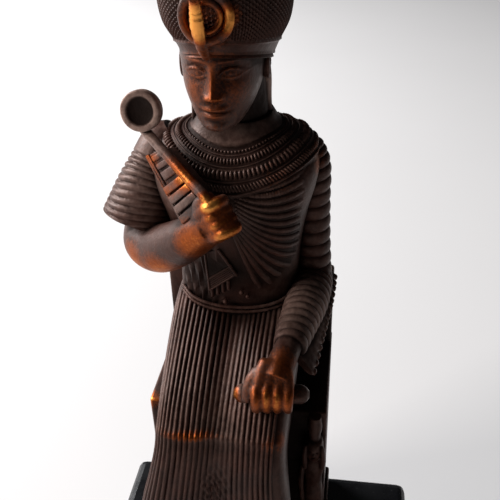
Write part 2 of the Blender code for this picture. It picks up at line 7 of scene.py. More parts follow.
import bmesh
import bpy
import numpy as np
from mathutils import Matrix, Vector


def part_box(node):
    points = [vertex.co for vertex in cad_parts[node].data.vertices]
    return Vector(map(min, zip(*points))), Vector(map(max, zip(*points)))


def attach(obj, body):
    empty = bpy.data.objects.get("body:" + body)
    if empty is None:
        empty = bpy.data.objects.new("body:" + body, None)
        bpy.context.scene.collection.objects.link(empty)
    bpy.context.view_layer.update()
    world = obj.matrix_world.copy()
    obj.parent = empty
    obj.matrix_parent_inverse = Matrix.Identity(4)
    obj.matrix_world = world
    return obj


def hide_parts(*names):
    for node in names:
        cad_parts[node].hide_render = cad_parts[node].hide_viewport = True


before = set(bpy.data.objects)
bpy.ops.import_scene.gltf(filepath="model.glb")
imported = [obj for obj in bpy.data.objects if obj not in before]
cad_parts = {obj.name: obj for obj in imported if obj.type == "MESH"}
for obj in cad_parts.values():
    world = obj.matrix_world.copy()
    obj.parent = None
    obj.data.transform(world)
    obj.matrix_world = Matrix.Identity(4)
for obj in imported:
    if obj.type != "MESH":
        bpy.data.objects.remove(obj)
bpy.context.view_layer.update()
figure_low, figure_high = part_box("figure")

FIGURE_HEIGHT = 0.207
FIGURE_OFFSET_X = -0.004
HANDS_HIGH = 155.0
HAND = FIGURE_HEIGHT / HANDS_HIGH
FIGURE_PLACE = np.array((FIGURE_OFFSET_X, figure_high.y, figure_low.z))
THIRDS = (0, 0.33, 0.66, 1)
# The casting is thinned to so many triangles, then its edges are halved down to this length
MOST_TRIANGLES = 162000
LONGEST_EDGE = 4.5

# Camera, in metres
CAMERA_PLACE = (0.02331, -0.12840, 0.23387)
CAMERA_RIGHT = (0.99002, 0.13845, -0.02631)
CAMERA_UP = (-0.05109, 0.52662, 0.84857)
CAMERA_BACK = (0.13134, -0.83875, 0.52844)
CAMERA_LENS = 48.96
SENSOR_WIDTH = 36.0
FLOOR_SIZE = 6.0
WORLD_COLOUR = (0.93, 0.95, 1.0, 1)
WORLD_STRENGTH = 0.03
LIGHT_TARGET = (0, 0, 0.12)
LIGHTS = (("window", (-1.35, 0.5, 0.85), 0.8, 45, (0.98, 0.985, 1.0)),
          ("room", (-1.2, -0.6, 0.75), 0.5, 10.0, (1.0, 0.95, 0.91)))

# Throne and the low base under it, in hands
BASE_HALF_WIDTH = 20.5
BASE_DEPTH = 68.0
BASE_HEIGHT = 5.0
THRONE_HALF_WIDTH = 19.5
SEAT_DEPTH = 29.0
SEAT_HEIGHT = 55.0
BACKREST_DEPTH = 5.0
BACKREST_HEIGHT = 74.5
THRONE_EDGE = 0.7
THRONE_EDGE_SEGMENTS = 3
BASE_LEDGE = 0.3
BACKREST_INSET = 0.15
LET_IN = 2.0
SINK = 0.6
FRAME_LINE_INSET = 2.4
FRAME_LINE_WIDTH = 0.5
SMALL_FRAME_DEPTH = 0.42
SMALL_FRAME_HEIGHT = 0.45
FRAME_LINE_DEPTH = 0.35

# Robe stations: front line y, z, hinge line y, z, half width, shift in x
ROBE = ((-4, 79, -4, 52, 13.6, 0), (-13, 80.2, -13, 52, 13.7, 0), (-22, 79.5, -20, 52, 13.6, 0),
        (-30, 77, -25, 52, 13.3, 0), (-38, 74, -27.5, 52, 12.9, 0), (-44, 71.2, -28, 51.5, 12.6, 0),
        (-48.5, 67.6, -28, 51, 12.4, -0.1), (-51, 63, -28, 50, 12.5, -0.3),
        (-52.2, 57, -28, 48, 13.3, -0.8), (-53.2, 48, -28, 43, 15, -1.3), (-54.6, 36, -28, 33, 16.4, -1.3),
        (-56, 22, -28, 20, 17.4, -1.2), (-57.5, 4.6, -28, 4.4, 18.2, -1))
ROBE_RINGS = 96
ROBE_OUTLINE_SAMPLES = 401
ROBE_HINGE_HALF_WIDTH = 12.0
ROBE_CORNER = 4.0
PLEATS = 26
PLEAT_SAMPLES = 6
PLEAT_START = 0.02
PLEAT_END = 0.87
PLEAT_DEPTH = 0.5
PLEAT_UNEVEN = 0.22
PLEAT_FADE = 0.22
PLEAT_ROUNDNESS = 0.6
PLEAT_WANDER = 0.10
ROBE_PLAIN_COLUMNS = 6
KNEE_RIDGE = 0.35
KNEE_RIDGE_Z = 66.6
KNEE_RIDGE_TALL = 0.8
SHIN_FOLD_PITCH = 2.3
SHIN_FOLD_BEND = 1.6
SHIN_FOLD_FADE = 6
SHIN_FOLD_DEPTH = 0.3
SHIN_FOLD_HALF_WIDTH = 2.6
SHIN_FOLD_TOP = 62.0
THIGH_VALLEY = 1.5
THIGH_VALLEY_HALF_WIDTH = 3.6
VALLEY_SMOOTH_HALF_WIDTH = 2.2
VALLEY_SMOOTHING = 0.5

# Torso rings: height, half width, front, back
TORSO = ((68, 13.4, -24.5, -4.6), (77, 13.0, -25.4, -4.6), (84, 12.3, -25.6, -4.7), (92, 12.8, -27.2, -4.8),
         (99, 14.0, -29.0, -5), (104, 15.3, -29.6, -5), (108, 15.8, -28.4, -5.5), (111.3, 14.6, -25.4, -6.5),
         (113.4, 12.0, -23.2, -7.6), (114.8, 7.6, -22, -8.6), (117, 5.8, -21.2, -9.2))
TORSO_RINGS = 84
TORSO_COLUMNS = 104
TORSO_POWER = 2.5
SHIRT_FOLD_PITCH = 1.7
SHIRT_FOLD_DEPTH = 0.35
SHIRT_FOLD_TOP = 99.0

# Broad collar: steps, then bead rows as distance from the neck's root, count, half sizes across, down, out
COLLAR_CENTRE = np.array((0, -15.5, 114.0))
COLLAR_STEPS = ((16.2, 0.6), (8.6, 1.0))
COLLAR_BALL = (60, 90, 0.03)
BEAD_ROWS = ((9.35, 92, 0.25, 0.27, 0.34), (10.85, 108, 0.255, 0.68, 0.46), (13.1, 98, 0.35, 0.92, 0.52))
COLLAR_LINES = ((9.9, 0.15), (11.85, 0.17), (14.3, 0.17), (16.05, 0.2))
TILE_ROW = 15.2
TILES = 150
TILE_SIZE = (0.25, 0.72, 0.4)
TILE_SLANT = 0.45
COLLAR_TOP = 116.0
COLLAR_FOOT = 94.0
COLLAR_LINE_COLUMNS = 160
COLLAR_LINE_SIDES = 6
BEAD_SHAPE = (7, 5)

# Folds of the shirt that fan out from a knot under the fist: end points across the chest, x, z
FAN_STARTS = ((1.4, 107.6), (1.6, 103), (0.9, 98.2))
FAN_ENDS = ((12.7, 109.0), (12.9, 107.0), (12.8, 104.6), (12.5, 102), (12.2, 99.2), (12.0, 96.3),
            (11.8, 93.2), (11.2, 90), (9.8, 87), (7.8, 84.8), (5.2, 83.6))
FAN_FOLDS = 14
FAN_RIDGE = 0.78
FAN_SUNK = 0.2
FAN_END_SUNK = 0.7
FAN_SAG = 1.0
FAN_TWISTS = 24
FAN_TWIST_DEPTH = 0.07

# Head and neck. Rings: height, half width, front, back
HEAD_X = -0.8
NECK = ((-0.1, -15, 111), (-0.2, -15.6, 116), (-0.4, -16.6, 125))
NECK_RADIUS = 6.3
HEAD = ((118.4, 2.4, -29.6, -21), (119.2, 3.7, -30.6, -17), (120.8, 4.9, -30.9, -13.5),
        (122.8, 5.9, -30.9, -11.5), (125, 6.6, -31.0, -10.6), (127.4, 6.9, -31.0, -10.2),
        (129.6, 7.0, -31.3, -10), (132, 7.0, -31.6, -10), (135, 6.6, -31, -11))
HEAD_RINGS = 92
HEAD_COLUMNS = 108
HEAD_POWER = 2.15
HEAD_CROWDING = 0.5
EYE_X = 2.9
EYE_Z = 128.4
BROW_Z = 130.5
NOSE_TIP_Z = 125.0
CHEEK_X = 4.2
CHEEK_Z = 125.2
MOUTH_Z = 122.3
CHIN_Z = 119.5
EYE_TAIL = (1.8, 3.6, 0.26)
# Bumps of the face, alike on both sides: height, x and half width, z and half height
FACE_BUMPS = ((0.45, 0, 0.95, NOSE_TIP_Z + 0.1, 0.8), (0.7, 1.2, 0.5, NOSE_TIP_Z - 0.2, 0.6),
              (-0.35, 0.6, 0.28, NOSE_TIP_Z - 0.95, 0.22), (-0.95, EYE_X - 0.1, 2.2, EYE_Z + 0.15, 1.35),
              (0.72, EYE_X, 1.4, EYE_Z, 0.72), (0.45, CHEEK_X, 2.2, CHEEK_Z, 2.3),
              (0.4, 0, 2.7, MOUTH_Z, 1.9), (-0.2, 2.5, 0.4, MOUTH_Z, 0.4),
              (-0.15, 0, 0.3, MOUTH_Z + 1.35, 0.45),
              (-0.35, 0, 1.8, MOUTH_Z - 1.7, 0.5), (0.65, 0, 1.9, CHIN_Z, 1.1))
# Arched lines of lids, brows and lips: height, x and half length, z, rise in the middle, half height, taper
FACE_ARCS = ((0.42, EYE_X, 2.0, EYE_Z, 0.85, 0.19, 0.5), (-0.22, EYE_X, 2.0, EYE_Z + 0.45, 0.85, 0.2, 0.5),
             (0.28, EYE_X, 2.0, EYE_Z, -0.7, 0.18, 0.5), (0.42, 3.1, 2.9, BROW_Z - 0.25, 0.35, 0.32, 0.5),
             (0.5, 0, 2.5, MOUTH_Z + 0.5, 0, 0.5, 1), (0.55, 0, 2.1, MOUTH_Z - 0.65, 0, 0.55, 1),
             (-0.4, 0, 2.5, MOUTH_Z, 0, 0.17, 0.5))

# Crown rings, each on a plane through a front point and a back point: front y, z, back y, z, half width
CROWN = ((-32.4, 131.5, -9.0, 125.2, 7.2), (-33.2, 133.6, -7.4, 128, 8.3), (-35.0, 137, -5.2, 132.4, 10.3),
         (-35.9, 141.2, -4, 137.6, 10.9), (-35.3, 145.6, -4.4, 143, 10.6), (-32.8, 149.8, -6.8, 148.6, 9.1),
         (-28.8, 153.0, -11, 152.6, 6.5), (-24, 154.6, -16, 154.6, 3.2), (-21.2, 155.1, -18.8, 155.1, 0.9))
CROWN_RINGS = 97
CROWN_COLUMNS = 198
CROWN_POWER = 2.2
CROWN_X = 0.1
CROWN_BAND_END = 0.145
CROWN_PIT = 0.42
CROWN_BAND_LINE = 0.22
CROWN_CAP_START = 0.955
CROWN_BAND_DIP = 0.03
CROWN_LINES = (0.012, 0.045, CROWN_BAND_END, CROWN_CAP_START)
CROWN_LINE_HALF_WIDTH = 0.008
CROWN_FULL_PIT_WIDTH = 9.0

# Cobra on the crown's front: hood path with radii, and the loop of its body
COBRA_HOOD = ((-1.2, -33.4, 131.9, 0.7), (-1.2, -36.0, 134.4, 0.95), (-1.3, -37.5, 137.4, 1.1),
              (-1.3, -38.0, 139.8, 0.95), (-1.2, -38.9, 141.4, 0.75), (-1.2, -40.1, 141.7, 0.5))
COBRA_LOOP_CENTRE = (-0.4, -36.0, 138.4)
COBRA_LOOP_RADIUS = 3.5
COBRA_LOOP_THICKNESS = 0.75
COBRA_LOOP_COLUMNS = (72, 14)
COBRA_INNER_LOOP = (2.1, 0.5)
COBRA_SCALE = 0.05
COBRA_SCALES = 13
COBRA_FLAT = 0.8

# Ears, and the streamers that hang behind them
EAR_CENTRE = (7.0, -19.6, 127.0)
EAR_SIZE = (0.75, 1.45, 2.5)
EAR_BALL = (24, 28, 0.05)
EAR_RIM = 0.38
EAR_RIM_OUT = 0.45
EAR_RIM_REACH = 0.85
EAR_RIM_TURN = (-2.0, 3.4)
STREAMER = ((5.9, -17.0, 129.5, 0.7), (6.3, -16.6, 124.0, 0.75), (6.1, -15.6, 118.5, 0.8),
            (6.6, -14.6, 112.5, 0.8))
STREAMER_FLAT = 2.0

# Arms: path points with radius
LEFT_UPPER_ARM = ((12.7, -14, 110.3, 3.4), (13.7, -14, 106, 4.2), (14.2, -13.6, 98, 3.9),
                  (14.5, -13.2, 89, 3.9), (14.9, -13.6, 80.5, 4.1))
LEFT_FOREARM = ((15.2, -11.5, 80, 3.6), (15.0, -16, 79.6, 4.3), (14.2, -23, 79.3, 4.4),
                (13.1, -29.5, 79.1, 3.9), (12.0, -36.4, 78.8, 3.2))
LEFT_WRIST = ((12.6, -32, 79.2, 2.6), (11.7, -37, 78.9, 2.5), (10.8, -40.5, 77.9, 2.7),
              (10.0, -43, 76.4, 2.9))
UPPER_ARM_RIDGES = 12
FOREARM_RIDGES = 15
RIDGE_SAMPLES = 8
SLEEVE_RIDGE_DEPTH = 0.42
SLEEVE_RIDGE_ROUNDNESS = 0.55
ARM_COLUMNS = 44
RIGHT_FOREARM = ((-18.6, -18.5, 94.5, 4.2), (-18.0, -21.5, 91.4, 4.7), (-13.8, -26, 92.6, 4.8),
                 (-8, -30.8, 97.4, 4.2), (-3.4, -34.0, 101.8, 3.5), (-1.4, -35.2, 103.6, 3.3))
RIGHT_SLEEVE = ((-11.5, -14, 111.6, 3.6, 4.5), (-13.4, -14.6, 109.4, 5.4, 6.4), (-15.2, -16, 106, 5.9, 6.8),
                (-17.2, -18, 101.2, 6.9, 7.1), (-19.1, -19.7, 95.3, 8.1, 7.5))
RIGHT_SLEEVE_PLEATS = 12
RIGHT_SLEEVE_PLEAT_START = 0.4
RIGHT_SLEEVE_PLEAT_DEPTH = 0.42
RIGHT_SLEEVE_SLANT = 0.9
RIGHT_SLEEVE_COLUMNS = 54

# Fall of cloth under the left forearm: the line it hangs from and its scalloped hem
FALL_TOP = ((16.4, -12, 80.6), (16.2, -18, 80.2), (15.4, -24, 79.6), (14.2, -30, 78.8), (13.0, -37, 77.6))
FALL_HEM = ((19.3, -12, 79.2), (19.0, -19, 78.3), (18.2, -25, 77.0), (17.3, -31, 75.6), (16.3, -38, 73.8))
FALL_THICKNESS = 0.8
FALL_OVERLAP = 0.4
FALL_SAMPLES = (90, 26)
SCALLOPS = 16
SCALLOP_RISE = 0.5
SCALLOP_SWELL = 0.2
HEM_BEAD_SIZE = (0.8, 0.74, 0.75)

# Hooked sceptre held across the chest, and the barred panel beside its shaft
SCEPTRE_TOP = (-14.4, -25.4, 116.2)
SCEPTRE_GRIP = (-1.2, -37.2, 108.9)
SCEPTRE_FOOT = (-0.9, -36.6, 105.4)
SCEPTRE_RADIUS = 0.95
SHAFT_SHARES = (0, 0.35, 0.7, 0.95)
RING_CENTRE = (-14.9, -25.2, 120.1)
RING_FACING = (-0.05, -1.0, 0.22)
RING_RADIUS = 3.6
RING_RIM = 1.15
RING_THICKNESS = 2.6
RING_SUNK = 0.6
PANEL_CORNERS = ((-15.0, -25.0, 111.4), (-11.6, -27.4, 114.0), (-1.6, -36.6, 108.0), (-6.6, -34.6, 102.6))
PANEL_THICKNESS = 3.2
PANEL_BARS = 4
PANEL_BAR_START = 0.46
PANEL_BAR_SHARE = 0.86
PANEL_BAR_LENGTH = 0.9
PANEL_BAR_RISE = 0.6
PANEL_BAR_ROOT = 0.8
PANEL_PLATES = ((0.04, 0.12), (0.16, 0.24), (0.28, 0.40))
PANEL_PLATE_RISE = 0.3
PANEL_PLATE_REACH = (0.24, 0.86)
PANEL_RIM_INSETS = (0.02, 0.13)
PANEL_RIM_RADIUS = 0.32
SLAB_EDGE = 0.22

# Fists: their places, and the directions across, out of and down each palm
RIGHT_FIST_PLACE = (-1.1, -36.8, 105.2)
LEFT_FIST_PLACE = (9.7, -43.0, 75.5)
RIGHT_FIST_AXES = ((0.45, -0.3, -0.84), (-0.55, -0.83, 0.0), (0.69, -0.46, 0.54))
LEFT_FIST_AXES = ((1, 0.1, 0), (0, -0.9, 0.35), (0, -0.35, -0.94))
# Each hand: palm (out, down, radius), its back (share of the finger's place across, out, down, radius),
# finger (out, down, share of FINGER_RADIUS), thumb (across, out, down, radius), and the finger pitch
LEFT_HAND = (((-1.6, -3.8, 2.4), (-1.2, -1.6, 2.9), (-0.8, 0.6, 3.0), (-0.8, 2.4, 2.4)),
             ((0.4, -0.9, -4.4, 1.5), (0.75, 0.5, -2.0, 1.5), (1.0, 1.5, 0.3, 1.2)),
             ((1.2, -0.4, 1.05), (2.3, 0.9, 1.1), (2.3, 2.8, 0.95), (1.0, 4.5, 0.9), (-0.8, 4.2, 0.8)),
             ((-2.4, -0.4, -2.8, 1.3), (-3.9, 0.4, -0.9, 1.25), (-4.6, 0.6, 1.4, 1.1),
              (-4.8, 0.2, 3.6, 0.9)),
             1.9)
RIGHT_HAND = (((-0.6, -3.6, 2.3), (-0.8, -1.6, 2.6), (-1.2, 0.6, 2.6), (-1.5, 1.5, 2.2)),
              ((0.4, -0.7, -4.2, 1.9), (0.75, -0.4, -2.0, 1.9), (1.0, 0.2, 0.6, 1.5)),
              ((0.3, -0.2, 1.15), (0.5, 1.2, 1.2), (-1.5, 2.3, 1.1), (-3.0, 1.2, 1.0), (-2.8, -0.6, 0.9)),
              ((-2.2, -0.8, -3.0, 1.5), (-3.3, -0.2, -1.2, 1.45), (-3.7, -0.2, 0.7, 1.3),
               (-3.6, -1.0, 2.2, 1.1)), 1.66)
FINGER_RADIUS = 1.0
FINGERS = 4
LONGEST_FINGER = 1.2
KNUCKLE_DROP = 0.35
HAND_VOXEL = 0.27
HAND_SMOOTHING = 4
HAND_KEPT = 0.35
ROLL_LEFT = (2.4, -43.6, 73.0)
ROLL_RIGHT = (16.2, -42.2, 72.8)
ROLL_RADIUS = 1.8

# Small standing queen in relief on the throne's front: height, half width, depth out of the throne
QUEEN_X = 17.0
QUEEN = ((5, 2.0, 2.4), (20, 2.1, 2.4), (30, 2.3, 2.8), (35, 1.9, 2.5), (39, 2.3, 3.0), (41.3, 2.7, 2.8),
         (42.6, 1.5, 2.4), (43.5, 1.5, 3.4), (46.2, 2.0, 4.0), (48.2, 1.8, 3.5), (49, 1.3, 2.4),
         (51.5, 1.6, 2.2), (54.4, 1.3, 1.8))
QUEEN_FACE_DEPTH = 3.75
QUEEN_FACE = ((0, 46.1, 0.28, 0.62, 0.6), (-0.72, 46.7, 0.42, 0.2, 0.3), (0.72, 46.7, 0.42, 0.2, 0.3),
              (0, 45.0, 0.5, 0.2, 0.3))
QUEEN_LOCK = ((1.75, -32.0, 48.0, 0.55), (1.95, -32.1, 45.2, 0.6), (1.9, -32.0, 42.4, 0.6),
              (1.8, -31.6, 40.2, 0.5))
QUEEN_ARM = ((-2.3, -31.2, 41, 0.65), (-2.7, -31.6, 37, 0.65), (-2.5, -31.6, 32, 0.6),
             (-2.2, -31.8, 28, 0.6))
QUEEN_COLUMNS = 28
QUEEN_RINGS = 60

# Feet: stations of y, half width and height, and toes as place across, tip and radius
FOOT_X = 6.6
FOOT = ((-52, 2.4, 6.0), (-57, 2.6, 5.5), (-61, 3.0, 4.2), (-63.6, 3.0, 3.0), (-64.9, 2.5, 2.2))
TOES = ((-2.15, -66.6, 1.02), (-0.75, -66.7, 0.8), (0.45, -66.3, 0.75), (1.55, -65.8, 0.7),
        (2.5, -65.2, 0.62))
TOE_ARCH = 0.3
TOE_ROOT_Y = -61.5
TOE_ROOT_Z = 7.0
TOE_TIP_RISE = 0.72

# Sash end that hangs under the fist, its tassels, and the belt with its knots
SASH = ((-5.1, -26.6, 92.6), (-2.3, -27.3, 94.0), (0.9, -26.3, 87.6), (-4.7, -25.9, 83.3))
SASH_THICKNESS = 1.6
SASH_RISE = 0.5
SASH_RIBS = 4
SASH_RIB_RADIUS = 0.15
SASH_LINES = (((-2.3, -27.8, 94.0), (0.9, -26.9, 87.7), 0.28),
              ((0.7, -26.8, 88.0), (-4.6, -26.4, 83.7), 0.26),
              ((-0.1, -27.1, 90.1), (-5.0, -26.6, 86.2), 0.26),
              ((-5.1, -27.1, 92.4), (-4.75, -26.4, 83.6), 0.24))
TASSELS = 4
TASSEL_LEFT = (-4.4, 84.2)
TASSEL_STEP = (1.15, 0.75)
TASSEL_LENGTH = 2.8
TASSEL_RADIUS = 0.42
KNOBS = ((-1.7, 80.9, 0.62), (1.6, 83.4, 0.55), (2.8, 82.5, 0.5))
BELT_Z = 79.8
BELT_SAG = 1.3
BELT_RADIUS = 0.36
BELT_LINE_GAP = 1.0
BELT_HALF_WIDTH = 11.5
BELT_TWIST = 0.05
BELT_TWISTS = 36
SASH_TWIST = 0.04
SASH_TWISTS = 16

# Rubbed places: centre in hands, radius, strength
RUBBED = (((0.2, -38.5, 105.5), 5.0, 0.62), ((-1.2, -37.5, 108.6), 2.2, 1.0),
          ((-4.5, -36.5, 100.5), 4.5, 0.62), ((-12, -31, 90.5), 5.0, 0.62), ((-18, -26, 90), 4.5, 0.6),
          ((9.7, -46, 75.5), 5.0, 0.5), ((10.4, -42, 78.4), 4.0, 0.42), ((-1.2, -39, 138), 3.4, 1.0),
          ((3, -36, 138), 2.2, 0.7),
          ((-2.0, -31, 126), 8.0, 0.35), ((-1.0, -34, 133.5), 5.0, 0.28), ((13.5, -18, 108.5), 3.4, 0.5),
          ((8.0, -25, 108), 4.0, 0.27), ((-19.5, -29, 55), 1.8, 0.8), ((-6.5, -33.2, 111.6), 3.0, 0.7),
          ((-14, -26, 111), 2.4, 0.5), ((-10, -30, 107), 1.8, 0.5), ((2.6, -44.0, 73.0), 1.6, 0.6))
RUBBED_REACH = 1.4
# Places where a pale highlight is painted on, as centre, radius, strength
PAINTED_HIGHLIGHTS = (((-14.9, -26.4, 120.1), 6.5, 1.0), ((14.0, -28, 82), 8.5, 0.5), ((-15, -20, 104), 8.0, 0.25),
          ((0, -24, 112), 12.0, 0.2), ((5.6, -16, 122), 4.5, 0.8), ((-4, -44, 74), 12.0, 0.14),
          ((-7, -32, 107), 5.0, 0.2))
PAINTED_HIGHLIGHT_REACH = 1.3
# Knees: middles of the rubbed crease, half widths across and along, strength
KNEE_CREASE = (((-5.0, 66.6), 5.5, 0.9, 0.55), ((10.5, 66.0), 3.0, 2.2, 0.3))
KNEE_FRONT_Y = -46
# Passes of smoothing that a fine and a broad bump stand out of
FINE_PASSES = 4
BROAD_PASSES = 20
SHARP_ANGLE = 0.9


def spline(rows, count):
    """Rows resampled to count points along a smooth curve through them."""
    rows = np.asarray(rows, float)
    padded = np.vstack((2 * rows[0] - rows[1], rows, 2 * rows[-1] - rows[-2]))
    place = np.linspace(0, len(rows) - 1, count)
    first = np.minimum(place.astype(int), len(rows) - 2)
    t = (place - first)[:, None]
    a, b, c, d = (padded[first + k] for k in range(4))
    return 0.5 * (2 * b + (c - a) * t + (2 * a - 5 * b + 4 * c - d) * t**2 + (3 * b - a - 3 * c + d) * t**3)


def unit(vector):
    vector = np.asarray(vector, float)
    return vector / np.linalg.norm(vector)


def angles(count):
    """So many angles evenly round a circle."""
    return np.arange(count) * 2 * np.pi / count


def bell(distance, width):
    return np.exp(-((distance / width) ** 2))


def solid(name, points, faces):
    """A mesh object from points in hands and triangles, turned to face outwards."""
    points = np.asarray(points, float) * HAND + FIGURE_PLACE
    faces = np.asarray(faces)
    if np.linalg.det(points[faces] - points.mean(0)).sum() < 0:
        faces = faces[:, ::-1]
    mesh = bpy.data.meshes.new(name)
    mesh.from_pydata(points.tolist(), [], faces.tolist())
    return linked(name, mesh)


def linked(name, data):
    """A new object of the scene with this data."""
    made = bpy.data.objects.new(name, data)
    bpy.context.scene.collection.objects.link(made)
    return made


def caps(here, low, high):
    """Triangles that close a loft's first and last rings onto two middle points."""
    first, last = here[0], here[-1]
    around = len(first)
    return [np.column_stack((np.full(around, low), np.roll(first, -1), first)),
            np.column_stack((np.full(around, high), last, np.roll(last, -1)))]


def loft(name, rings):
    """A closed solid through rings of equally many points."""
    rings = np.asarray(rings, float)
    count, around = rings.shape[:2]
    points = np.vstack((rings.reshape(-1, 3), rings[0].mean(0), rings[-1].mean(0)))
    here = np.arange(count * around).reshape(count, around)
    beside = np.roll(here, -1, 1)
    a, b, c, d = here[:-1], beside[:-1], beside[1:], here[1:]
    faces = [np.stack(corners, -1).reshape(-1, 3) for corners in ((a, b, c), (a, c, d))]
    return solid(name, points, np.vstack(faces + caps(here, count * around, count * around + 1)))


def lattice(name, rings):
    """A closed solid through rings whose points are staggered by half a step in every second ring."""
    count, around = rings.shape[:2]
    points = np.vstack((rings.reshape(-1, 3), rings[0].mean(0), rings[-1].mean(0)))
    here = np.arange(count * around).reshape(count, around)
    beside = np.roll(here, -1, 1)
    even, odd = np.arange(0, count - 1, 2), np.arange(1, count - 1, 2)
    corners = ((here[even], beside[even], here[even + 1]), (beside[even], beside[even + 1], here[even + 1]),
               (here[odd], beside[odd + 1], here[odd + 1]), (here[odd], beside[odd], beside[odd + 1]))
    faces = [np.stack(c, -1).reshape(-1, 3) for c in corners]
    return solid(name, points, np.vstack(faces + caps(here, count * around, count * around + 1)))


def raised(rings, height):
    """The rings moved out along their surface's normal by height."""
    normal = np.cross(np.roll(rings, -1, 1) - np.roll(rings, 1, 1), np.gradient(rings, axis=0))
    normal /= np.maximum(np.linalg.norm(normal, axis=2, keepdims=True), 1e-9)
    if ((rings - rings.mean(1, keepdims=True)) * normal).sum() < 0:
        normal = -normal
    return rings + normal * height[..., None]


def oval(columns, power, start=0.0):
    """Cosine-like and sine-like shares round a superellipse."""
    angle = start + angles(columns)
    c, s = np.cos(angle), np.sin(angle)
    return np.sign(c) * abs(c) ** (2 / power), np.sign(s) * abs(s) ** (2 / power)


def tube_rings(path, columns, count, relief=None, flat=1.0):
    """Rings round a path, flattened to flat across it."""
    rows = spline(path, count)
    centre, radius = rows[:, :3], rows[:, 3].copy()
    if relief is not None:
        radius += relief(np.linspace(0, 1, count))
    along = np.gradient(centre, axis=0)
    along /= np.linalg.norm(along, axis=1)[:, None]
    side = unit(np.cross(along[0], (0.3, 0.2, 1.0)))
    angle = angles(columns)
    rings = []
    for i in range(count):
        side = unit(side - along[i] * (side @ along[i]))
        other = np.cross(along[i], side)
        circle = np.outer(np.cos(angle), side) + flat * np.outer(np.sin(angle), other)
        rings.append(centre[i] + radius[i] * circle)
    return np.array(rings)


def tube(name, path, columns, count, relief=None, flat=1.0):
    """A round bar along path points with radii. relief gives a radius change at each share of its length."""
    return loft(name, tube_rings(path, columns, count, relief, flat))


def straight(start, end, shares, radius):
    """Path points with a radius at shares of the way from start to end."""
    start, end = np.array(start), np.array(end)
    return [(*(start + (end - start) * t), radius) for t in shares]


def capsule(name, path, columns, count):
    """A round bar with rounded ends."""
    rings = tube_rings(path, columns, count)
    share = np.linspace(0, 1, count)
    end = np.minimum(share, 1 - share) / 0.12
    swell = np.sqrt(1 - np.clip(1 - end, 0, 0.92) ** 2)
    middle = rings.mean(1, keepdims=True)
    return loft(name, middle + (rings - middle) * swell[:, None, None])


def box(name, low, high, edge=0.0, segments=THRONE_EDGE_SEGMENTS):
    """A block between two corners with rounded edges."""
    low, high = np.asarray(low, float), np.asarray(high, float)
    corners = np.array([(x, y, z) for x in (0, 1) for y in (0, 1) for z in (0, 1)])
    return bevelled(name, low + corners * (high - low), edge, segments)


def bevelled(name, corners, edge, segments):
    """A rounded block from eight corners, in x, y, z counting order."""
    faces = ((0, 1, 3), (0, 3, 2), (4, 6, 7), (4, 7, 5), (0, 4, 5), (0, 5, 1),
             (2, 3, 7), (2, 7, 6), (0, 2, 6), (0, 6, 4), (1, 5, 7), (1, 7, 3))
    made = solid(name, corners, faces)
    if edge:
        shell = bmesh.new()
        shell.from_mesh(made.data)
        bmesh.ops.dissolve_limit(shell, angle_limit=0.02, verts=shell.verts, edges=shell.edges)
        sharp = [e for e in shell.edges if e.calc_face_angle(0) > 0.5]
        bmesh.ops.bevel(shell, geom=sharp, offset=edge * HAND, segments=segments, profile=0.5,
                        affect="EDGES")
        bmesh.ops.triangulate(shell, faces=shell.faces)
        shell.to_mesh(made.data)
        shell.free()
    return made


def slab(name, corners, thickness, rise=0.0, edge=SLAB_EDGE):
    """A plate whose four outer corners are given; it reaches thickness inwards, behind them."""
    corners = np.asarray(corners, float)
    normal = unit(np.cross(corners[1] - corners[0], corners[3] - corners[0]))
    if normal[1] > 0:
        normal = -normal
    out, back = corners + normal * rise, corners - normal * thickness
    ordered = (out[0], back[0], out[3], back[3], out[1], back[1], out[2], back[2])
    return bevelled(name, ordered, edge, 2)


def baked(made):
    """The object with its modifiers worked into its mesh."""
    bpy.context.view_layer.update()
    result = bpy.data.meshes.new_from_object(made.evaluated_get(bpy.context.evaluated_depsgraph_get()))
    made.modifiers.clear()
    made.data = result
    return made


def combine(target, other, operation="UNION"):
    """The Boolean of two solids, left in target; other goes."""
    change = target.modifiers.new("join", "BOOLEAN")
    change.operation = operation
    change.object = other
    change.solver = "MANIFOLD"
    baked(target)
    bpy.data.objects.remove(other)
    return target


def union(pieces):
    """All pieces as one solid, joined in pairs so that the large meshes meet last."""
    pieces = list(pieces)
    while len(pieces) > 1:
        pieces = [combine(*pair) if len(pair) == 2 else pair[0] for pair in zip_pairs(pieces)]
    return pieces[0]


def zip_pairs(pieces):
    return [pieces[i:i + 2] for i in range(0, len(pieces), 2)]


def softened(made):
    """The solid rebuilt in one even skin and smoothed, so that its parts flow together."""
    for kind, values in (("REMESH", {"mode": "VOXEL", "voxel_size": HAND_VOXEL * HAND}),
                         ("SMOOTH", {"factor": 0.5, "iterations": HAND_SMOOTHING}),
                         ("DECIMATE", {"ratio": HAND_KEPT})):
        change = made.modifiers.new(kind.lower(), kind)
        for key, value in values.items():
            setattr(change, key, value)
    baked(made)
    shell = bmesh.new()
    shell.from_mesh(made.data)
    bmesh.ops.triangulate(shell, faces=shell.faces)
    shell.to_mesh(made.data)
    shell.free()
    return made


def ball_rings(latitudes, longitudes, pole):
    """Rings of points on a unit ball, from pole radians beside one pole to as much beside the other."""
    a = np.linspace(pole, np.pi - pole, latitudes)[:, None]
    b = angles(longitudes)[None, :]
    return np.stack((np.sin(a) * np.cos(b), np.sin(a) * np.sin(b), np.cos(a) + 0 * b), -1)


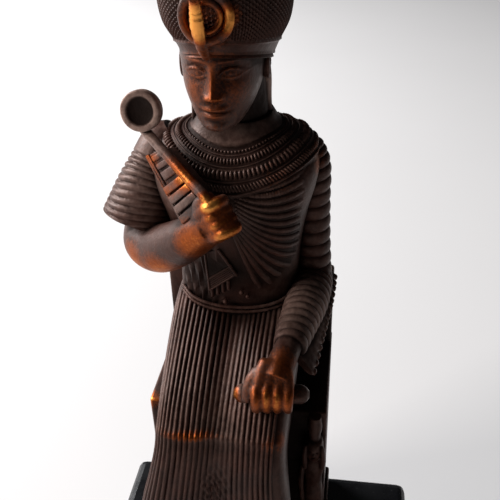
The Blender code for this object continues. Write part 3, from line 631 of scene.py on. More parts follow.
def ball_template():
    """Points and triangles of a small unit ball."""
    columns, rings = BEAD_SHAPE
    angle = angles(columns)
    points = [(0, 0, 1)]
    for tilt in np.linspace(0, np.pi, rings)[1:-1]:
        points += [(np.sin(tilt) * np.cos(a), np.sin(tilt) * np.sin(a), np.cos(tilt)) for a in angle]
    points.append((0, 0, -1))
    faces, last = [], len(points) - 1
    for j in range(columns):
        k = (j + 1) % columns
        faces.append((0, 1 + j, 1 + k))
        faces.append((last, last - columns + k, last - columns + j))
        for i in range(rings - 3):
            a, b = 1 + i * columns, 1 + (i + 1) * columns
            faces += [(a + j, b + j, b + k), (a + j, b + k, a + k)]
    return np.array(points), np.array(faces)


def beads(name, spots):
    """Balls that stand clear of each other. A spot is a middle and three half axes."""
    points, faces = ball_template()
    all_points, all_faces = [], []
    for k, (middle, *axes) in enumerate(spots):
        all_points.append(np.asarray(middle) + points @ np.array(axes))
        all_faces.append(faces + k * len(points))
    return solid(name, np.vstack(all_points), np.vstack(all_faces))


TORSO_TABLE = spline(TORSO, 400)


def torso_size(z):
    """Half width, front and back of the torso at z."""
    return [np.interp(z, TORSO_TABLE[:, 0], TORSO_TABLE[:, k]) for k in (1, 2, 3)]


def torso_rings(rise=0.0):
    """Rings round the torso, or round it at a rise above its surface."""
    c, s = oval(TORSO_COLUMNS, TORSO_POWER, np.pi / TORSO_COLUMNS)
    rings = []
    for z, half_width, front, back in spline(TORSO, TORSO_RINGS):
        middle, deep = (front + back) / 2, (back - front) / 2
        level = np.full(len(c), z)
        rings.append(np.column_stack((c * (half_width + rise), middle + s * (deep + rise), level)))
    return np.array(rings)


def torso():
    rings = torso_rings()
    x, y, z = rings[..., 0], rings[..., 1], rings[..., 2]
    facing = np.clip((-15 - y) / 8, 0, 1)
    fade = np.clip((SHIRT_FOLD_TOP - z) / 8, 0, 1) * np.clip((-1 - x) / 2, 0, 1)
    wave = np.sin(2 * np.pi * (x + 0.12 * (z - 80)) / SHIRT_FOLD_PITCH)
    return loft("torso", raised(rings, SHIRT_FOLD_DEPTH * wave * fade * facing))


def chest_front(x, z):
    """Where the torso's front surface lies at x and z."""
    half_width, front, back = torso_size(z)
    share = (1 - np.minimum(abs(x) / half_width, 0.98) ** TORSO_POWER) ** (1 / TORSO_POWER)
    return (front + back) / 2 - share * (back - front) / 2


def collar_point(distance, azimuth, rise):
    """The point of the torso's surface at a distance from the neck's root, on a meridian seen from above."""
    z = np.linspace(COLLAR_TOP, COLLAR_FOOT, 81)
    half_width, front, back = torso_size(z)
    middle, deep = (front + back) / 2, (back - front) / 2
    low, high = np.zeros(len(z)), np.full(len(z), 40.0)
    for _ in range(30):
        reach = (low + high) / 2
        x, y = reach * np.sin(azimuth), COLLAR_CENTRE[1] - reach * np.cos(azimuth)
        wide_share, deep_share = abs(x) / (half_width + rise), abs(y - middle) / (deep + rise)
        inside = wide_share**TORSO_POWER + deep_share**TORSO_POWER < 1
        low, high = np.where(inside, reach, low), np.where(inside, high, reach)
    away = np.hypot(low, z - COLLAR_CENTRE[2])
    past = np.argmax(away > distance)
    share = (distance - away[past - 1]) / (away[past] - away[past - 1])
    reach = low[past - 1] + share * (low[past] - low[past - 1])
    height = z[past - 1] + share * (z[past] - z[past - 1])
    return np.array((reach * np.sin(azimuth), COLLAR_CENTRE[1] - reach * np.cos(azimuth), height))


def collar_axes(distance, azimuth, rise):
    """Directions across, down and out at a place on the collar."""
    below, above = (collar_point(distance + step, azimuth, rise) for step in (0.3, -0.3))
    right, left = (collar_point(distance, azimuth + step, rise) for step in (0.02, -0.02))
    across, down = unit(right - left), unit(below - above)
    return across, down, unit(np.cross(across, down))


def collar():
    """Steps, lines and bead rows of the broad collar."""
    pieces = []
    sphere = ball_rings(*COLLAR_BALL)
    for radius, rise in COLLAR_STEPS:
        shell = loft("collar", torso_rings(rise))
        pieces.append(combine(shell, loft("collar_edge", COLLAR_CENTRE + radius * sphere), "INTERSECT"))
    base = COLLAR_STEPS[0][1]
    for distance, count, wide, tall, deep in BEAD_ROWS:
        spots = []
        for azimuth in angles(count):
            across, down, out = collar_axes(distance, azimuth, base)
            spots.append((collar_point(distance, azimuth, base), across * wide, down * tall, out * deep))
        pieces.append(beads("beads", spots))
    pieces.append(tiles(base))
    for distance, radius in COLLAR_LINES:
        azimuths = angles(COLLAR_LINE_COLUMNS)
        rings = []
        for azimuth in azimuths:
            across, down, out = collar_axes(distance, azimuth, base)
            angle = angles(COLLAR_LINE_SIDES)
            middle = collar_point(distance, azimuth, base)
            rings.append(middle + radius * (np.outer(np.cos(angle), down) + np.outer(np.sin(angle), out)))
        pieces.append(closed_ring("line", np.array(rings)))
    return pieces


def tiles(rise):
    """Slanted tiles of the collar's outer band, side by side like laid cord."""
    spots = []
    for azimuth in angles(TILES):
        across, down, out = collar_axes(TILE_ROW, azimuth, rise)
        wide, tall, deep = TILE_SIZE
        lean = unit(down + TILE_SLANT * across)
        middle = collar_point(TILE_ROW, azimuth, rise)
        spots.append((middle, unit(np.cross(lean, out)) * wide, lean * tall, out * deep))
    return beads("tiles", spots)


def closed_ring(name, rings):
    """A solid whose last ring joins its first."""
    count, around = rings.shape[:2]
    here = np.arange(count * around).reshape(count, around)
    after, beside = np.roll(here, -1, 0), np.roll(here, -1, 1)
    both = np.roll(beside, -1, 0)
    faces = [np.stack(c, -1).reshape(-1, 3) for c in ((here, beside, both), (here, both, after))]
    return solid(name, rings.reshape(-1, 3), np.vstack(faces))


def fan_folds():
    """Folds of the shirt from the knot to the side of the chest, each twisted like cord."""
    pieces = []
    for index, (start, end) in enumerate(zip(spline(FAN_STARTS, FAN_FOLDS), spline(FAN_ENDS, FAN_FOLDS))):
        twist = FAN_TWIST_DEPTH * (1 - index / FAN_FOLDS)
        path = []
        for t in np.linspace(0, 1, 13):
            x, z = start + t * (end - start) - (0, FAN_SAG * np.sin(np.pi * t))
            y = chest_front(x, z) + FAN_SUNK + FAN_END_SUNK * t**10
            path.append((x, y, z, FAN_RIDGE * (0.45 + 0.55 * t)))
        pieces.append(tube("fold", path, 8, 60, twisted(twist, FAN_TWISTS)))
    return pieces


def face_relief(x, z):
    """How far a calm, even face stands out of the plain head at x from its middle and at height z."""
    side = abs(x)
    bridge = np.clip((BROW_Z - z) / (BROW_Z - NOSE_TIP_Z), 0, 1)
    nose = (0.45 + 1.45 * bridge) * bell(x, 0.8 + 0.45 * bridge)
    out = nose / (1 + np.exp(-(z - NOSE_TIP_Z + 0.7) / 0.2)) * np.clip((BROW_Z + 1.4 - z) / 2, 0, 1)
    for height, middle_x, wide, middle_z, tall in FACE_BUMPS:
        out += height * bell(side - middle_x, wide) * bell(z - middle_z, tall)
    for height, middle_x, half_length, middle_z, rise, tall, taper in FACE_ARCS:
        arc = np.clip(1 - ((side - middle_x) / half_length) ** 2, 0, 1)
        out += height * arc**taper * bell(z - middle_z - rise * arc, tall)
    start, end = EYE_X + EYE_TAIL[0], EYE_X + EYE_TAIL[1]
    tail = np.clip((side - start) / 0.5, 0, 1) * np.clip((end - side) / 0.8, 0, 1)
    return out + EYE_TAIL[2] * tail * bell(z - EYE_Z - 0.05, 0.2)


def head():
    """The head, its columns closer together across the face than round the back."""
    angle = np.linspace(0, 2 * np.pi, HEAD_COLUMNS, endpoint=False)
    angle = angle - HEAD_CROWDING * np.sin(angle)
    across, deep_share = np.sin(angle), -np.cos(angle)
    power = 2 / HEAD_POWER
    across = np.sign(across) * abs(across) ** power
    deep_share = np.sign(deep_share) * abs(deep_share) ** power
    rings = []
    for z, half_width, front, back in spline(HEAD, HEAD_RINGS):
        middle, deep = (front + back) / 2, (back - front) / 2
        x = across * half_width
        y = middle + deep_share * deep
        facing = np.clip((middle - y) / deep, 0, 1) ** 2
        y = y - face_relief(x, np.full(len(x), z)) * facing
        rings.append(np.column_stack((HEAD_X + x, y, np.full(len(x), z))))
    return loft("head", rings)


def crown():
    """The tall crown: a smooth brow band below, and pits in a close lattice above it."""
    rows = spline(CROWN, CROWN_RINGS)
    rings = []
    for i, (front_y, front_z, back_y, back_z, half_width) in enumerate(rows):
        c, s = oval(CROWN_COLUMNS, CROWN_POWER, (i % 2) * np.pi / CROWN_COLUMNS)
        front, back = np.array((front_y, front_z)), np.array((back_y, back_z))
        middle, deep = (front + back) / 2, (back - front) / 2
        y, z = middle[0] + deep[0] * s, middle[1] + deep[1] * s
        rings.append(np.column_stack((CROWN_X + half_width * c, y, z)))
    share = np.linspace(0, 1, CROWN_RINGS)[:, None]
    row = np.arange(CROWN_RINGS)[:, None]
    column = np.arange(CROWN_COLUMNS)[None, :]
    pit = (column - row // 2 - row) % 3 == 0
    above = np.clip((share - CROWN_BAND_END) / 0.02, 0, 1) * np.clip((CROWN_CAP_START - share) / 0.03, 0, 1)
    height = -CROWN_PIT * pit * above * np.minimum(rows[:, 4:] / CROWN_FULL_PIT_WIDTH, 1)
    lines = sum(bell(share - place, CROWN_LINE_HALF_WIDTH) for place in CROWN_LINES)
    dip = bell(share - CROWN_BAND_DIP, CROWN_LINE_HALF_WIDTH)
    height = height + CROWN_BAND_LINE * lines - CROWN_BAND_LINE * dip
    return lattice("crown", raised(np.array(rings), height))


def cobra():
    """The rearing hood, and its body coiled round it: two closed rings, one within the other."""
    small = np.linspace(0, 2 * np.pi, COBRA_LOOP_COLUMNS[1], endpoint=False)
    pieces = [tube("cobra_hood", COBRA_HOOD, 18, 50, twisted(COBRA_SCALE, COBRA_SCALES), COBRA_FLAT)]
    for radius, thickness in ((COBRA_LOOP_RADIUS, COBRA_LOOP_THICKNESS), COBRA_INNER_LOOP):
        rings = []
        for a in np.linspace(0, 2 * np.pi, COBRA_LOOP_COLUMNS[0], endpoint=False):
            out = np.array((np.cos(a), 0, np.sin(a)))
            spot = np.array(COBRA_LOOP_CENTRE) + out * radius + np.array((0, 0.55 * np.cos(a) ** 2, 0))
            circle = np.outer(np.cos(small), out) + np.outer(np.sin(small), (0, 1, 0))
            rings.append(spot + thickness * circle)
        pieces.append(closed_ring("cobra_loop", np.array(rings)))
    return pieces


def ear(side):
    """A flat shell with a raised rim."""
    centre = np.array(EAR_CENTRE) * (side, 1, 1) + (HEAD_X, 0, 0)
    shell = loft("ear", centre + ball_rings(*EAR_BALL) * EAR_SIZE)
    out, wide, tall = side * EAR_RIM_OUT, EAR_SIZE[1] * EAR_RIM_REACH, EAR_SIZE[2] * EAR_RIM_REACH
    rim = [(*(centre + (out, -wide * np.cos(t), tall * np.sin(t))), EAR_RIM)
           for t in np.linspace(*EAR_RIM_TURN, 9)]
    return combine(shell, tube("rim", rim, 8, 40))


def twisted(depth, turns):
    """A radius change like the strands of a cord."""
    def relief(share):
        return depth * np.sin(share * turns * 2 * np.pi)
    return relief


def ridged(depth, ridges):
    """A radius change that makes rounded ridges with narrow grooves between them."""
    def relief(share):
        return -depth * (1 - abs(np.sin(share * ridges * np.pi)) ** SLEEVE_RIDGE_ROUNDNESS)
    return relief


def sleeved_arm(name, path, ridges):
    return tube(name, path, ARM_COLUMNS, RIDGE_SAMPLES * ridges + 1, ridged(SLEEVE_RIDGE_DEPTH, ridges))


def right_sleeve():
    """The short flared sleeve, its lower part laid in slanting pleats."""
    count = RIDGE_SAMPLES * RIGHT_SLEEVE_PLEATS
    plain = np.linspace(0, RIGHT_SLEEVE_PLEAT_START, 26)[:-1]
    share = np.concatenate((plain, np.linspace(RIGHT_SLEEVE_PLEAT_START, 1, count + 1)))
    rows = spline(RIGHT_SLEEVE, 201)
    rows = np.column_stack([np.interp(share, np.linspace(0, 1, 201), rows[:, k]) for k in range(5)])
    along = np.gradient(rows[:, :3], axis=0)
    angle = angles(RIGHT_SLEEVE_COLUMNS)
    pleat = (share - RIGHT_SLEEVE_PLEAT_START) / (1 - RIGHT_SLEEVE_PLEAT_START) * RIGHT_SLEEVE_PLEATS
    rings = []
    for row, way, turn in zip(rows, along, pleat):
        deep = unit(np.cross(unit(way), (1, 0, 0)))
        wide = np.cross(deep, unit(way))
        phase = turn + RIGHT_SLEEVE_SLANT * np.cos(angle) + 0.12 * np.sin(3 * angle + 0.4 * turn)
        cut = RIGHT_SLEEVE_PLEAT_DEPTH * (1 - abs(np.sin(phase * np.pi)) ** 0.7) * np.clip(phase * 0.7, 0, 1)
        across = np.outer((row[3] - cut) * np.cos(angle), wide)
        rings.append(row[:3] + across + np.outer((row[4] - cut) * np.sin(angle), deep))
    return loft("right_sleeve", rings)


def lathe(name, centre, facing, profile, columns=56):
    """A round solid turned about its facing axis. profile is radius and height."""
    axis = unit(facing)
    side = unit(np.cross(axis, (0, 0, 1)))
    up = np.cross(side, axis)
    angle = angles(columns)
    ring = np.outer(np.cos(angle), side) + np.outer(np.sin(angle), up)
    return loft(name, [np.array(centre) + axis * height + radius * ring for radius, height in profile])


def sceptre():
    """Ring head with a sunk face, neck, and the shaft down into the fist."""
    half, rim, edge = RING_THICKNESS / 2, RING_RADIUS - RING_RIM, 0.28
    sunk = half - RING_SUNK
    profile = [(radius, sunk) for radius in np.linspace(0.15, rim - 0.3, 6)]
    profile += [(rim - 0.1, sunk + 0.15), (rim + 0.1, half - 0.12), (rim + edge, half),
                (rim + 2 * edge, half - 0.06), (RING_RADIUS - edge, half), (RING_RADIUS - 0.05, half - 0.18),
                (RING_RADIUS, half - 0.5), (RING_RADIUS, 0), (RING_RADIUS, -half + 0.5),
                (RING_RADIUS - edge, -half), (1.5, -half), (0.2, -half)]
    ring = lathe("sceptre", RING_CENTRE, RING_FACING, profile)
    path = [(*(np.array(RING_CENTRE) - (0, 0, RING_RADIUS - RING_RIM / 2)), SCEPTRE_RADIUS)]
    path += straight(SCEPTRE_TOP, SCEPTRE_GRIP, SHAFT_SHARES, SCEPTRE_RADIUS)
    path.append((*SCEPTRE_FOOT, SCEPTRE_RADIUS))
    return combine(ring, tube("shaft", path, 16, 40))


def on_panel(corners, across, along):
    """The point of the panel at shares across it, towards the shaft, and along it, towards the fist."""
    start, end = (a + (b - a) * across for a, b in ((corners[0], corners[1]), (corners[3], corners[2])))
    return start + (end - start) * along


def panel():
    """Barred panel along the shaft, lying on the upper arm and chest."""
    corners = np.array(PANEL_CORNERS)
    pieces = [slab("panel", corners, PANEL_THICKNESS)]
    step = (1 - PANEL_BAR_START) / PANEL_BARS
    for k in range(PANEL_BARS):
        low, high = PANEL_BAR_START + k * step, PANEL_BAR_START + (k + PANEL_BAR_SHARE) * step
        edge = [corners[0] + (corners[3] - corners[0]) * t for t in (low, high)]
        far = [corners[1] + (corners[2] - corners[1]) * t for t in (high, low)]
        inner = [edge[0], far[1], far[0], edge[1]]
        middle = np.mean(inner, axis=0)
        outline = [middle + (p - middle) * PANEL_BAR_LENGTH for p in inner]
        pieces.append(slab("bar", outline, PANEL_BAR_ROOT, PANEL_BAR_RISE))
    for low, high in PANEL_PLATES:
        near, far = PANEL_PLATE_REACH
        places = ((near, low), (far, low), (far, high), (near, high))
        outline = [on_panel(corners, across, along) for across, along in places]
        pieces.append(slab("plate", outline, PANEL_BAR_ROOT, PANEL_PLATE_RISE))
    for inset in PANEL_RIM_INSETS:
        ends = [on_panel(corners, inset, along) for along in (0, 1)]
        pieces.append(tube("panel_rim", straight(*ends, THIRDS, PANEL_RIM_RADIUS), 8, 24))
    return pieces


def on_chest(x, z, out=0.0):
    return np.array((x, chest_front(x, z) - out, z))


def belt():
    """Two thin cords that sag across the belly over the robe's top."""
    pieces = []
    for gap in (0, BELT_LINE_GAP):
        path = []
        for x in np.linspace(-BELT_HALF_WIDTH, BELT_HALF_WIDTH, 11):
            z = BELT_Z + gap - BELT_SAG * (1 - (x / BELT_HALF_WIDTH) ** 2)
            path.append((*on_chest(x, z, 0.75), BELT_RADIUS))
        pieces.append(tube("belt", path, 8, 90, twisted(BELT_TWIST, BELT_TWISTS)))
    return pieces


def sash():
    """The sash end with its border lines, the tassels under it, and the knobs of the belt."""
    pieces = [slab("sash", SASH, SASH_THICKNESS, SASH_RISE)]
    ribs = []
    left, right = SASH_LINES[2][1::-1], SASH_LINES[1][1::-1]
    for t in np.linspace(0, 1, SASH_RIBS + 2)[1:-1]:
        ribs.append([np.array(a) + t * (np.array(b) - a) for a, b in zip(left, right)] + [SASH_RIB_RADIUS])
    for start, end, radius in [*SASH_LINES, *ribs]:
        path = straight(start, end, THIRDS, radius)
        pieces.append(tube("sash_line", path, 8, 40, twisted(SASH_TWIST, SASH_TWISTS)))
    for k in range(TASSELS):
        x, z = TASSEL_LEFT[0] + k * TASSEL_STEP[0], TASSEL_LEFT[1] + k * TASSEL_STEP[1]
        path = [(*on_chest(x, z - TASSEL_LENGTH * t, 0.5), TASSEL_RADIUS) for t in (0, 0.5, 1)]
        pieces.append(capsule("tassel", path, 10, 14))
    spots = [(on_chest(x, z, 0.9), *(radius * np.eye(3))) for x, z, radius in KNOBS]
    return pieces + [beads("knobs", spots)]


def fist(name, place, axes, hand, arm):
    """A closed hand: palm, back, curled fingers side by side and a thumb, joined to the end of the arm."""
    across, out, down = (unit(axis) for axis in axes)
    palm, back_of_hand, finger, thumb, pitch = hand

    def at(a, b, c):
        return np.array(place) + across * a + out * b + down * c

    pieces = [arm, capsule(name, [(*at(0, b, c), radius) for b, c, radius in palm], 24, 24)]
    for k in range(FINGERS):
        a = (k - (FINGERS - 1) / 2) * pitch
        drop = KNUCKLE_DROP * abs(k - LONGEST_FINGER)
        path = [(*at(a, b, c + drop * (0 < i < 3)), FINGER_RADIUS * share)
                for i, (b, c, share) in enumerate(finger)]
        pieces.append(capsule("finger", path, 14, 30))
        path = [(*at(a * share, b, c + drop * (i == 2)), radius)
                for i, (share, b, c, radius) in enumerate(back_of_hand)]
        pieces.append(capsule("back_of_hand", path, 14, 24))
    pieces.append(capsule("thumb", [(*at(a, b, c), radius) for a, b, c, radius in thumb], 14, 26))
    return softened(union(pieces))


def robe():
    """Robe over lap and shins: pleats run from the waist over the knees to the hem."""
    count = PLEATS * PLEAT_SAMPLES
    pleated = np.linspace(PLEAT_START, PLEAT_END, count + 1)
    plain = np.linspace(PLEAT_END, 1, ROBE_PLAIN_COLUMNS)[1:]
    share = np.concatenate(((0,), pleated, plain))
    turns = np.clip((share - PLEAT_START) / (PLEAT_END - PLEAT_START), 0, 1) * PLEATS
    stations = spline(ROBE, ROBE_RINGS)
    rings = []
    for index, (front_y, front_z, hinge_y, hinge_z, half_width, shift) in enumerate(stations):
        way = index / (ROBE_RINGS - 1)
        front, hinge = np.array((front_y, front_z)), np.array((hinge_y, hinge_z))
        height = np.linalg.norm(front - hinge)
        out = (front - hinge) / height
        dense = round_top(half_width, height)
        even = np.linspace(0, 1, len(dense))
        top = np.column_stack([np.interp(share, even, dense[:, k]) for k in range(2)])
        turn = np.gradient(top, axis=0)
        normal = np.column_stack((-turn[:, 1], turn[:, 0]))
        normal /= np.linalg.norm(normal, axis=1)[:, None]
        wander = PLEAT_WANDER * np.sin(9 * way + 0.55 * turns)
        groove = 1 - abs(np.sin(np.pi * (turns + wander))) ** PLEAT_ROUNDNESS
        uneven = 1 + PLEAT_UNEVEN * np.sin(2.4 * turns + 11 * way) * np.sin(1.1 * turns - 17 * way)
        smooth = 1 - VALLEY_SMOOTHING * bell(top[:, 0], VALLEY_SMOOTH_HALF_WIDTH)
        depth = PLEAT_DEPTH * uneven * min(way / PLEAT_FADE, 1) * smooth
        depth = np.where((share >= PLEAT_START) & (share <= PLEAT_END), depth, 0)
        top -= normal * (groove * depth)[:, None]
        top[:, 1] -= THIGH_VALLEY * bell(top[:, 0], THIGH_VALLEY_HALF_WIDTH)
        top[:, 1] += KNEE_RIDGE * bell(front_z - KNEE_RIDGE_Z, KNEE_RIDGE_TALL)
        crease = np.sin(2 * np.pi * (front_z + SHIN_FOLD_BEND * abs(top[:, 0])) / SHIN_FOLD_PITCH)
        below = np.clip((SHIN_FOLD_TOP - front_z) / SHIN_FOLD_FADE, 0, 1)
        top[:, 1] += SHIN_FOLD_DEPTH * crease * below * bell(top[:, 0], SHIN_FOLD_HALF_WIDTH)
        feet = np.array(((ROBE_HINGE_HALF_WIDTH, 0), (-ROBE_HINGE_HALF_WIDTH, 0)))
        section = np.vstack((top, feet))
        rings.append([(shift + x, *(hinge + out * v)) for x, v in section])
    return loft("robe", rings)


def round_top(half_width, height):
    """A robe section's outline from the viewer's left over the rounded top to the right, evenly spaced."""
    arc = np.linspace(0, np.pi / 2, 17)
    corner = min(ROBE_CORNER, height * 0.8)
    x, z = -half_width + corner - corner * np.cos(arc), height - corner + corner * np.sin(arc)
    left = np.column_stack((x, z))
    right = left[::-1] * (-1, 1)
    outline = np.vstack((left, right))
    step = np.concatenate(((0,), np.cumsum(np.linalg.norm(np.diff(outline, axis=0), axis=1))))
    place = np.linspace(0, step[-1], ROBE_OUTLINE_SAMPLES)
    return np.column_stack([np.interp(place, step, outline[:, k]) for k in range(2)])


def fall():
    """The long sleeve's cloth that hangs under the left forearm, and the scallops along its hem."""
    count, around = FALL_SAMPLES
    tops, hems = spline(FALL_TOP, count), spline(FALL_HEM, count)
    angle = angles(around)
    share = np.linspace(0, 1, count)
    along = np.gradient(hems, axis=0)
    rings = []
    for top, low, way, t in zip(tops, hems, along, share):
        reach = low - top
        length = np.linalg.norm(reach)
        out = unit(np.cross(way, reach))
        scallop = SCALLOP_RISE * (abs(np.sin(t * SCALLOPS * np.pi)) ** 0.6 - 0.6)
        ends = np.cos(angle) * (length / 2 + FALL_OVERLAP + np.where(np.cos(angle) > 0, scallop, 0))
        swell = 1 + SCALLOP_SWELL * np.cos(angle) * abs(np.sin(t * SCALLOPS * np.pi))
        thick = FALL_THICKNESS * np.sin(angle) * swell
        rings.append((top + low) / 2 + np.outer(ends, reach / length) + np.outer(thick, out))
    spots = []
    across, along_hem, deep = HEM_BEAD_SIZE
    for t in (np.arange(SCALLOPS) + 0.5) / SCALLOPS:
        k = int(t * (count - 1))
        way, reach = unit(along[k]), unit(hems[k] - tops[k])
        out = unit(np.cross(way, reach))
        spots.append((hems[k] + reach * 0.2, way * along_hem, reach * across, out * deep))
    return [loft("fall", rings), beads("scallops", spots)]


def queen():
    """Small standing queen with a tall crown, in relief on the throne's front beside the king's leg."""
    c, s = oval(QUEEN_COLUMNS, 2.2)
    rings = []
    for z, half_width, depth in spline(QUEEN, QUEEN_RINGS):
        middle = -SEAT_DEPTH - depth / 2 + SINK
        y = middle + s * (depth / 2 + SINK)
        rings.append(np.column_stack((QUEEN_X + c * half_width, y, np.full(QUEEN_COLUMNS, z))))
    made = loft("queen", rings)
    front = -SEAT_DEPTH - QUEEN_FACE_DEPTH
    arm = [(QUEEN_X + x, y, z, radius) for x, y, z, radius in QUEEN_ARM]
    details = [capsule("queen_arm", arm, 10, 20)]
    for side in (-1, 1):
        lock = [(QUEEN_X + side * x, y, z, radius) for x, y, z, radius in QUEEN_LOCK]
        details.append(capsule("queen_lock", lock, 8, 16))
    for x, z, wide, tall, deep in QUEEN_FACE:
        details.append(beads("queen_face", [((QUEEN_X + x, front, z), *np.diag((wide, deep, tall)))]))
    return union([made, *details])


def foot(side):
    """A bare foot with five toes."""
    c, s = oval(24, 2.8)
    rings = []
    for y, half_width, height in spline(FOOT, 24):
        middle = BASE_HEIGHT - SINK + height / 2
        x, z = side * FOOT_X + c * half_width, middle + s * height / 2
        rings.append(np.column_stack((x, np.full(24, y), z)))
    pieces = [loft("foot", rings)]
    for across, tip, radius in TOES:
        x, low = side * (FOOT_X + across), BASE_HEIGHT + TOE_TIP_RISE * radius
        middle = (TOE_ROOT_Y + tip) / 2
        arch = (TOE_ROOT_Z + low) / 2 + TOE_ARCH
        path = [(x, TOE_ROOT_Y, TOE_ROOT_Z, radius), (x, middle, arch, radius), (x, tip, low, radius)]
        pieces.append(capsule("toe", path, 12, 20))
    return union(pieces)


def frame_line(name, low, high):
    """Four thin bars that make an upright rectangle in the y-z plane at x = low[0] to high[0]."""
    (x0, y0, z0), (x1, y1, z1) = low, high
    w = FRAME_LINE_WIDTH
    return [box(name, (x0, y0, z0), (x1, y1, z0 + w)), box(name, (x0, y0, z1 - w), (x1, y1, z1)),
            box(name, (x0, y0, z0 + w / 2), (x1, y0 + w, z1 - w / 2)),
            box(name, (x0, y1 - w, z0 + w / 2), (x1, y1, z1 - w / 2))]


def throne():
    """Low base, seat block with framed sides, and low backrest."""
    base = box("figure_casting", (-BASE_HALF_WIDTH, -BASE_DEPTH, 0), (BASE_HALF_WIDTH, 0, BASE_HEIGHT),
               THRONE_EDGE)
    seat = box("seat", (-THRONE_HALF_WIDTH, -SEAT_DEPTH, BASE_HEIGHT - LET_IN),
               (THRONE_HALF_WIDTH, -BASE_LEDGE, SEAT_HEIGHT), THRONE_EDGE)
    rest_half_width = THRONE_HALF_WIDTH - BACKREST_INSET
    rest = box("backrest", (-rest_half_width, -BACKREST_DEPTH, SEAT_HEIGHT - LET_IN),
               (rest_half_width, -BASE_LEDGE - BACKREST_INSET, BACKREST_HEIGHT), THRONE_EDGE)
    for side in (-1, 1):
        outer, inner = side * (THRONE_HALF_WIDTH + 1), side * (THRONE_HALF_WIDTH - FRAME_LINE_DEPTH)
        low_x, high_x = min(outer, inner), max(outer, inner)
        inset = FRAME_LINE_INSET
        grooves = frame_line("groove", (low_x, -SEAT_DEPTH + inset, BASE_HEIGHT + inset),
                             (high_x, -BASE_LEDGE - inset, SEAT_HEIGHT - inset))
        small_front, small_top = SMALL_FRAME_DEPTH * SEAT_DEPTH, SMALL_FRAME_HEIGHT * SEAT_HEIGHT
        grooves += frame_line("groove", (low_x, -BASE_LEDGE - small_front, BASE_HEIGHT + inset),
                              (high_x, -BASE_LEDGE - inset, BASE_HEIGHT + small_top))
        for groove in grooves:
            combine(seat, groove, "DIFFERENCE")
    return union((base, seat, rest))


def thinned(made):
    """The solid with its flattest triangles merged, down to MOST_TRIANGLES."""
    flat = made.modifiers.new("flat", "TRIANGULATE")
    flat.min_vertices = 4
    change = made.modifiers.new("thin", "DECIMATE")
    change.ratio = MOST_TRIANGLES / sum(len(face.vertices) - 2 for face in made.data.polygons)
    change.use_collapse_triangulate = True
    return baked(made)


def refined(mesh):
    """Halves edges until none is longer than LONGEST_EDGE, so that wear, painted shade and painted
    highlights can be laid on flat faces.
    """
    shell = bmesh.new()
    shell.from_mesh(mesh)
    for _ in range(6):
        long = [edge for edge in shell.edges if edge.calc_length() > LONGEST_EDGE * HAND]
        if not long:
            break
        bmesh.ops.subdivide_edges(shell, edges=long, cuts=1)
        bmesh.ops.triangulate(shell, faces=[face for face in shell.faces if len(face.verts) > 3])
    shell.to_mesh(mesh)
    shell.free()


def neighbour_mean(values, edges, degree):
    """The mean of each vertex's neighbours."""
    total = np.zeros_like(values)
    for k in range(values.shape[1]):
        total[:, k] = np.bincount(edges[:, 0], values[edges[:, 1], k], len(values))
        total[:, k] += np.bincount(edges[:, 1], values[edges[:, 0], k], len(values))
    return total / degree[:, None]


def bump_out(mesh, passes):
    """How far each vertex stands out of the surface smoothed over so many passes, in hands."""
    count = len(mesh.vertices)
    points, normals = np.empty(count * 3), np.empty(count * 3)
    mesh.vertices.foreach_get("co", points)
    mesh.vertices.foreach_get("normal", normals)
    points, normals = points.reshape(-1, 3), normals.reshape(-1, 3)
    edges = np.empty(len(mesh.edges) * 2, int)
    mesh.edges.foreach_get("vertices", edges)
    edges = edges.reshape(-1, 2)
    degree = np.maximum(np.bincount(edges.ravel(), minlength=count), 1)
    smooth = points
    for _ in range(passes):
        smooth = neighbour_mean(smooth, edges, degree)
    stands = ((points - smooth) * normals).sum(1) / HAND
    return stands, (points - FIGURE_PLACE) / HAND, edges, degree


def nearness(points, spots, reach):
    """The strongest of the spots at each point. A spot fades out over its radius, up to reach radii away."""
    strongest = np.zeros(len(points))
    for centre, radius, strength in spots:
        away = np.linalg.norm(points - centre, axis=1)
        strongest = np.maximum(strongest, strength * np.clip(reach - away / radius, 0, 1))
    return strongest


def paint_wear_shade_and_light(mesh):
    """Stores at each vertex how rubbed and raised the surface is, how dark its hollows are painted in shade,
    and how strong its painted highlight is.
    """
    fine, points, edges, degree = bump_out(mesh, FINE_PASSES)
    broad = bump_out(mesh, BROAD_PASSES)[0]
    rubbed = nearness(points, RUBBED, RUBBED_REACH)
    for (x, z), wide, tall, strength in KNEE_CREASE:
        crease = bell(points[:, 0] - x, wide) * bell(points[:, 2] - z, tall) * (points[:, 1] < KNEE_FRONT_Y)
        rubbed = np.maximum(rubbed, strength * crease * np.clip(fine / 0.06, 0, 1))
    ridge = np.clip(fine / 0.12, 0, 1) * 0.6 + np.clip(broad / 0.4, 0, 1) * 0.5
    # Painted pale highlight in the listed places, weaker in small hollows
    painted_highlight = nearness(points, PAINTED_HIGHLIGHTS, PAINTED_HIGHLIGHT_REACH) * np.clip(0.8 + fine / 0.15, 0, 1)
    wear = np.clip(rubbed * (0.55 + 0.6 * ridge), 0, 1)
    # Painted shade: concave places are painted dark, except where a highlight is painted
    hollow_shade = (np.clip(-fine / 0.1, 0, 1) * 0.75 + np.clip(-broad / 0.4, 0, 1) * 0.5) * (1 - painted_highlight)
    painted = {"wear": wear, "ridge": np.clip(ridge, 0, 1), "hollow_shade": np.clip(hollow_shade, 0, 1), "dust_and_highlight": painted_highlight}
    for name, values in painted.items():
        values = neighbour_mean(values[:, None], edges, degree)[:, 0] * 0.5 + values * 0.5
        mesh.attributes.new(name, "FLOAT", "POINT").data.foreach_set("value", values.astype(np.float32))


